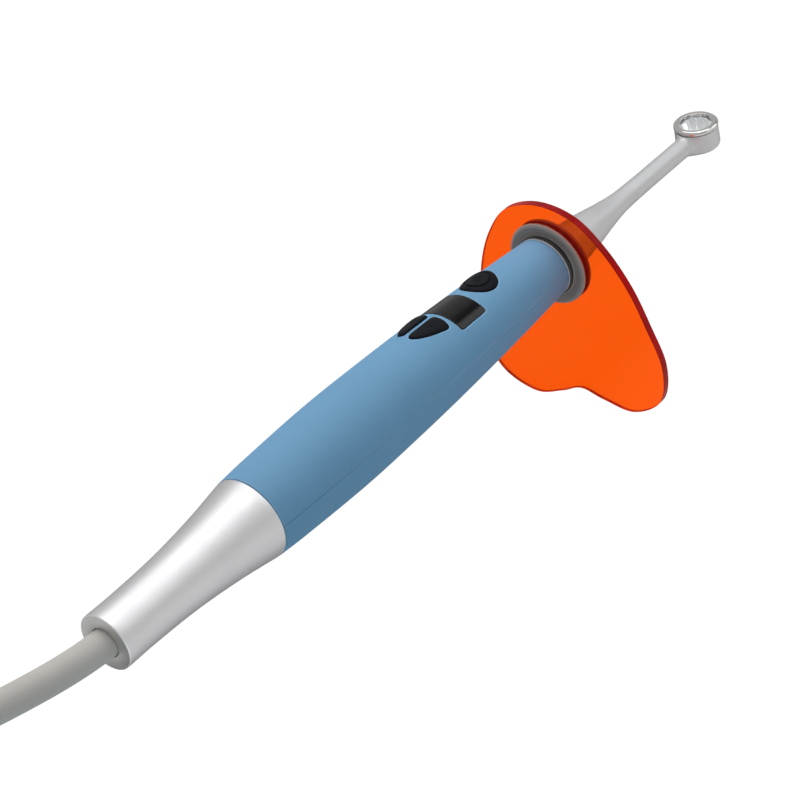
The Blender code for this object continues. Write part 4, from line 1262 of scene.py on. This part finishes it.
# lens, flat on the side toward the emitter and crowned on the outside: (radius, z)
lens = [(0.0, 2.20), (1.1, 2.20), (3.2, 2.20), (3.9, 2.20), (4.0, 2.28), (4.0, 3.22),
        (3.93, 3.30)]
lens += [(r, 3.78 - 0.42 * (r / 4.0) ** 2)
         for r in (3.8, 3.5, 3.1, 2.7, 2.3, 1.9, 1.5, 1.1, 0.7, 0.35)] + [(0.0, 3.78)]
add(to_object(head_spin(lens, 96), "lens_glass", GLASS, sharp=35), "neck",
    "lens")


def reflector(facets=10, per_facet=4):
    """Cup of flat mirrors with a round outer wall, and a rib along every corner."""
    inner = ((1.55, -0.08), (2.35, 0.80), (3.62, 2.02))
    outer = ((3.95, 2.02), (3.95, 1.55), (3.5, 1.55), (3.5, -0.08))
    half = math.pi / facets
    rings = []
    for level, (radius, z) in enumerate(inner + outer):
        ring = []
        for k in range(facets * per_facet):
            a = 2 * math.pi * k / (facets * per_facet)
            size = radius
            if 0 < level < len(inner):
                # a straight side between neighbouring corners
                within = ((k % per_facet) / per_facet) * 2 * half - half
                size = radius * math.cos(half) / math.cos(within)
            ring.append((HEAD_X + size * math.cos(a), size * math.sin(a), z))
        rings.append(ring)
    solid = bmesh.new()
    skin(solid, rings, loop=True)
    tilt(solid, HEAD_TURN)
    mirror_faces = len(solid.faces)
    turn = Matrix.Rotation(math.radians(HEAD_TURN), 3, "X")
    for k in range(facets):
        a = 2 * math.pi * k / facets
        line = [turn @ Vector((HEAD_X + r * math.cos(a), r * math.sin(a), z))
                for r, z in ((1.62, 0.02), (2.32, 0.82), (3.50, 1.94))]
        merge(solid, tube(line, 0.23, 32, round_end=0.12))
    solid.faces.ensure_lookup_table()
    for face in solid.faces[mirror_faces:]:
        face.material_index = 1
    return solid


def emitter():
    """Square carrier with four dies."""
    solid = bmesh.new()
    add_box(solid, (HEAD_X - 0.95, -0.95, -0.15), (HEAD_X + 0.95, 0.95, 0.15), 0.06)
    for i in (-1, 1):
        for j in (-1, 1):
            add_box(solid, (HEAD_X + i * 0.40 - 0.30, j * 0.40 - 0.30, 0.17),
                    (HEAD_X + i * 0.40 + 0.30, j * 0.40 + 0.30, 0.30), 0.03)
    tilt(solid, HEAD_TURN)
    return solid


add(to_object(reflector(), "reflector_cup", (MIRROR, RIB), sharp=12), "neck",
    "reflector")
add(to_object(emitter(), "emitter_die", EMITTER, sharp=35), "neck",
    "led_emitter")
dome = [(0.0, 0.34), (0.9, 0.34)]
dome += [(0.92 * math.cos(a), 0.36 + 0.62 * math.sin(a))
         for a in (math.radians(d) for d in range(0, 90, 9))] + [(0.0, 0.98)]
add(to_object(head_spin(dome, 48), "emitter_dome", DOME, sharp=50), "neck")

# ------------------------------------------------------------------ CAD nodes kept as they are
for material, names in (
        (RUBBER, "cable_bush sleeve_seal_ring neck_seal_ring"),
        (STEEL, "cord_clamp board_screw_rear board_screw_front stop_pin retaining_ring"),
        (ALU, "rear_coupling"), (PANEL, "display_module"), (INNER, "chassis"),
        (BOARD, "main_board"), (CHIP, "controller_chip"), (FERRITE, "driver_inductor"),
        (CAN, "capacitor"), (SWITCH, "buzzer power_switch left_switch right_switch"),
        (CONNECTOR, "cable_connector led_connector"), (BUSH, "swivel_bush"),
        (LED_BOARD, "led_board"), (WIRE_RED, "led_wire_red"),
        (WIRE_BLACK, "led_wire_black")):
    for name in names.split():
        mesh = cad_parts[name].data
        mesh.materials.clear()
        mesh.materials.append(material)


# ------------------------------------------------------------------ floor
def floor_material():
    """A white sweep, lit for the view, with painted light and shade in its reflections and in
    the light it bounces.

    Positions are in metres from the floor's middle; the camera is on the -y side.
    """
    look = Finish("m_floor", colour=(0.72, 0.72, 0.72), rough=0.85, drift=None, specular=0.1)
    ray = look.node("LightPath").outputs
    # seen directly, or through the clear pieces, it mostly glows, with a faint shadow
    glow = look.node("Emission", {"Strength": 1.14})
    look.feed(look.output["Surface"],
              look.mix_shader(look.scaled(look.seen(ray), 0.86), look.shader,
                              glow.outputs["Emission"]))
    # painted light: reflections of it glow brighter on the side toward the camera
    look.feed(look.inputs["Emission Color"], (1, 1, 1))
    place = look.axes(look.vector)
    glossy = ray["Is Glossy Ray"]
    look.feed(look.inputs["Emission Strength"],
              look.maths("MULTIPLY", glossy,
                         look.ranged(place["Y"], -0.03, 0.012, low=0.26, high=0.0)))
    # the light it bounces onto matt surfaces is painted a cooler tone
    tone = look.mix(ray["Is Diffuse Ray"], (0.72, 0.72, 0.72), (0.60, 0.69, 0.71))
    # painted shade: reflections of its far side are darker
    behind = look.maths("MULTIPLY", glossy, look.ranged(place["Y"], -0.025, 0.012))
    beyond = look.maths("MULTIPLY", behind, look.ranged(place["X"], -0.115, -0.085))
    tone = look.mix(beyond, tone, (0.34, 0.34, 0.34))
    # and the rear face mirrors a painted shade that lightens from the near side to the far side
    rearward = look.maths("MULTIPLY", behind,
                          look.ranged(place["X"], -0.130, -0.105, low=1.0, high=0.0))
    rising = look.mix(look.ranged(place["Y"], 0.046, 0.070),
                      (0.30, 0.305, 0.30), (0.92, 0.92, 0.90))
    look.feed(look.inputs["Base Color"], look.mix(rearward, tone, rising))
    return look.material


FLOOR_DROP = 0.0435         # below the handle's axis, in metres
solid = bmesh.new()
bmesh.ops.create_grid(solid, x_segments=2, y_segments=2, size=6.0)
mesh = bpy.data.meshes.new("floor")
solid.to_mesh(mesh)
solid.free()
floor = bpy.data.objects.new("floor", mesh)
floor.location = (BASE.x + 0.1, BASE.y, BASE.z - FLOOR_DROP)
bpy.context.scene.collection.objects.link(floor)
mesh.materials.append(floor_material())


# ------------------------------------------------------------------ world
def build_world():
    """White to the view; a grey room to glossy surfaces, and a dimmer one to matt ones."""
    world = bpy.data.worlds.new("studio")
    bpy.context.scene.world = world
    world.use_nodes = True
    nodes = Nodes(world.node_tree)
    background = world.node_tree.nodes["Background"].inputs
    nodes.feed(background["Color"], (1.0, 1.0, 1.0))
    ray = nodes.node("LightPath").outputs
    # the room has a dark gap beside a lit strip, forward and to the side
    direction = nodes.axes(nodes.node("TexCoord").outputs["Generated"])
    strips = nodes.node("ValToRGB", {"Fac": nodes.ranged(direction["Y"], -1.0, 1.0)})
    stops = strips.color_ramp.elements
    for stop, position in zip(stops, (0.15, 0.60)):
        stop.position = position
        stop.color = (0.36, 0.36, 0.36, 1)
    for position, grey in ((0.19, 1.0), (0.355, 1.0), (0.405, 0.09), (0.485, 0.14)):
        stops.new(position).color = (grey, grey, grey, 1)
    forward_and_up = nodes.maths("MULTIPLY", nodes.ranged(direction["X"], 0.56, 0.62),
                                 nodes.ranged(direction["Z"], 0.20, 0.36))
    lit_strips = nodes.maths("MULTIPLY", strips.outputs["Color"], 1.4)
    room = nodes.mix_value(forward_and_up, 0.50, lit_strips)
    matt = nodes.mix_value(ray["Is Diffuse Ray"], room, 0.22)
    nodes.feed(background["Strength"], nodes.mix_value(nodes.seen(ray), matt, 1.10))


build_world()

# ------------------------------------------------------------------ lights
AIM = BASE + Vector((0.105, 0, 0))


def softbox(name, place, size, radiance):
    """Rectangular soft light aimed at the handle; place is from AIM, in metres.

    radiance is how bright its face looks.
    """
    data = bpy.data.lights.new(name, "AREA")
    data.shape = "RECTANGLE"
    data.size, data.size_y = size
    data.energy = radiance * math.pi * size[0] * size[1]
    lamp = bpy.data.objects.new(name, data)
    lamp.location = AIM + Vector(place)
    lamp.rotation_mode = "QUATERNION"
    lamp.rotation_quaternion = (AIM - lamp.location).to_track_quat("-Z", "Y")
    bpy.context.scene.collection.objects.link(lamp)
    return lamp


softbox("overhead", place=(0.285, -0.03, 1.062), size=(1.25, 0.84), radiance=1.38)
crown = softbox("crown", place=(0.20, 0.45, 0.98), size=(0.8, 0.8), radiance=1.25)
crown.visible_glossy = False
side_light = softbox("side", place=(0.50, -0.74, 0.64), size=(0.50, 0.40), radiance=0.62)
side_light.visible_diffuse = False

# ------------------------------------------------------------------ camera
CAMERA_PLACE = (-281.782, -430.135, 315.249)        # mm in the handle frame
CAMERA_RIGHT = (0.62012, -0.738, -0.26611)
CAMERA_UP = (0.53354, 0.14806, 0.83271)

lens_data = bpy.data.cameras.new("camera")
lens_data.sensor_width = 36.0
lens_data.lens = 135.0
lens_data.clip_start = 0.01
lens_data.clip_end = 50.0
camera = bpy.data.objects.new("camera", lens_data)
right = Vector(CAMERA_RIGHT).normalized()
up = Vector(CAMERA_UP)
up = (up - right * up.dot(right)).normalized()
columns = (right, up, right.cross(up), BASE + Vector(CAMERA_PLACE) * MM)
camera.matrix_world = Matrix([[column[i] for column in columns] for i in range(3)]
                             + [[0, 0, 0, 1]])
scene = bpy.context.scene
scene.collection.objects.link(camera)
scene.camera = camera
scene.view_settings.view_transform = "Standard"
# light runs a long way inside the clear shield before it leaves at an edge
scene.cycles.max_bounces = 32
scene.cycles.glossy_bounces = 24
scene.cycles.transmission_bounces = 24
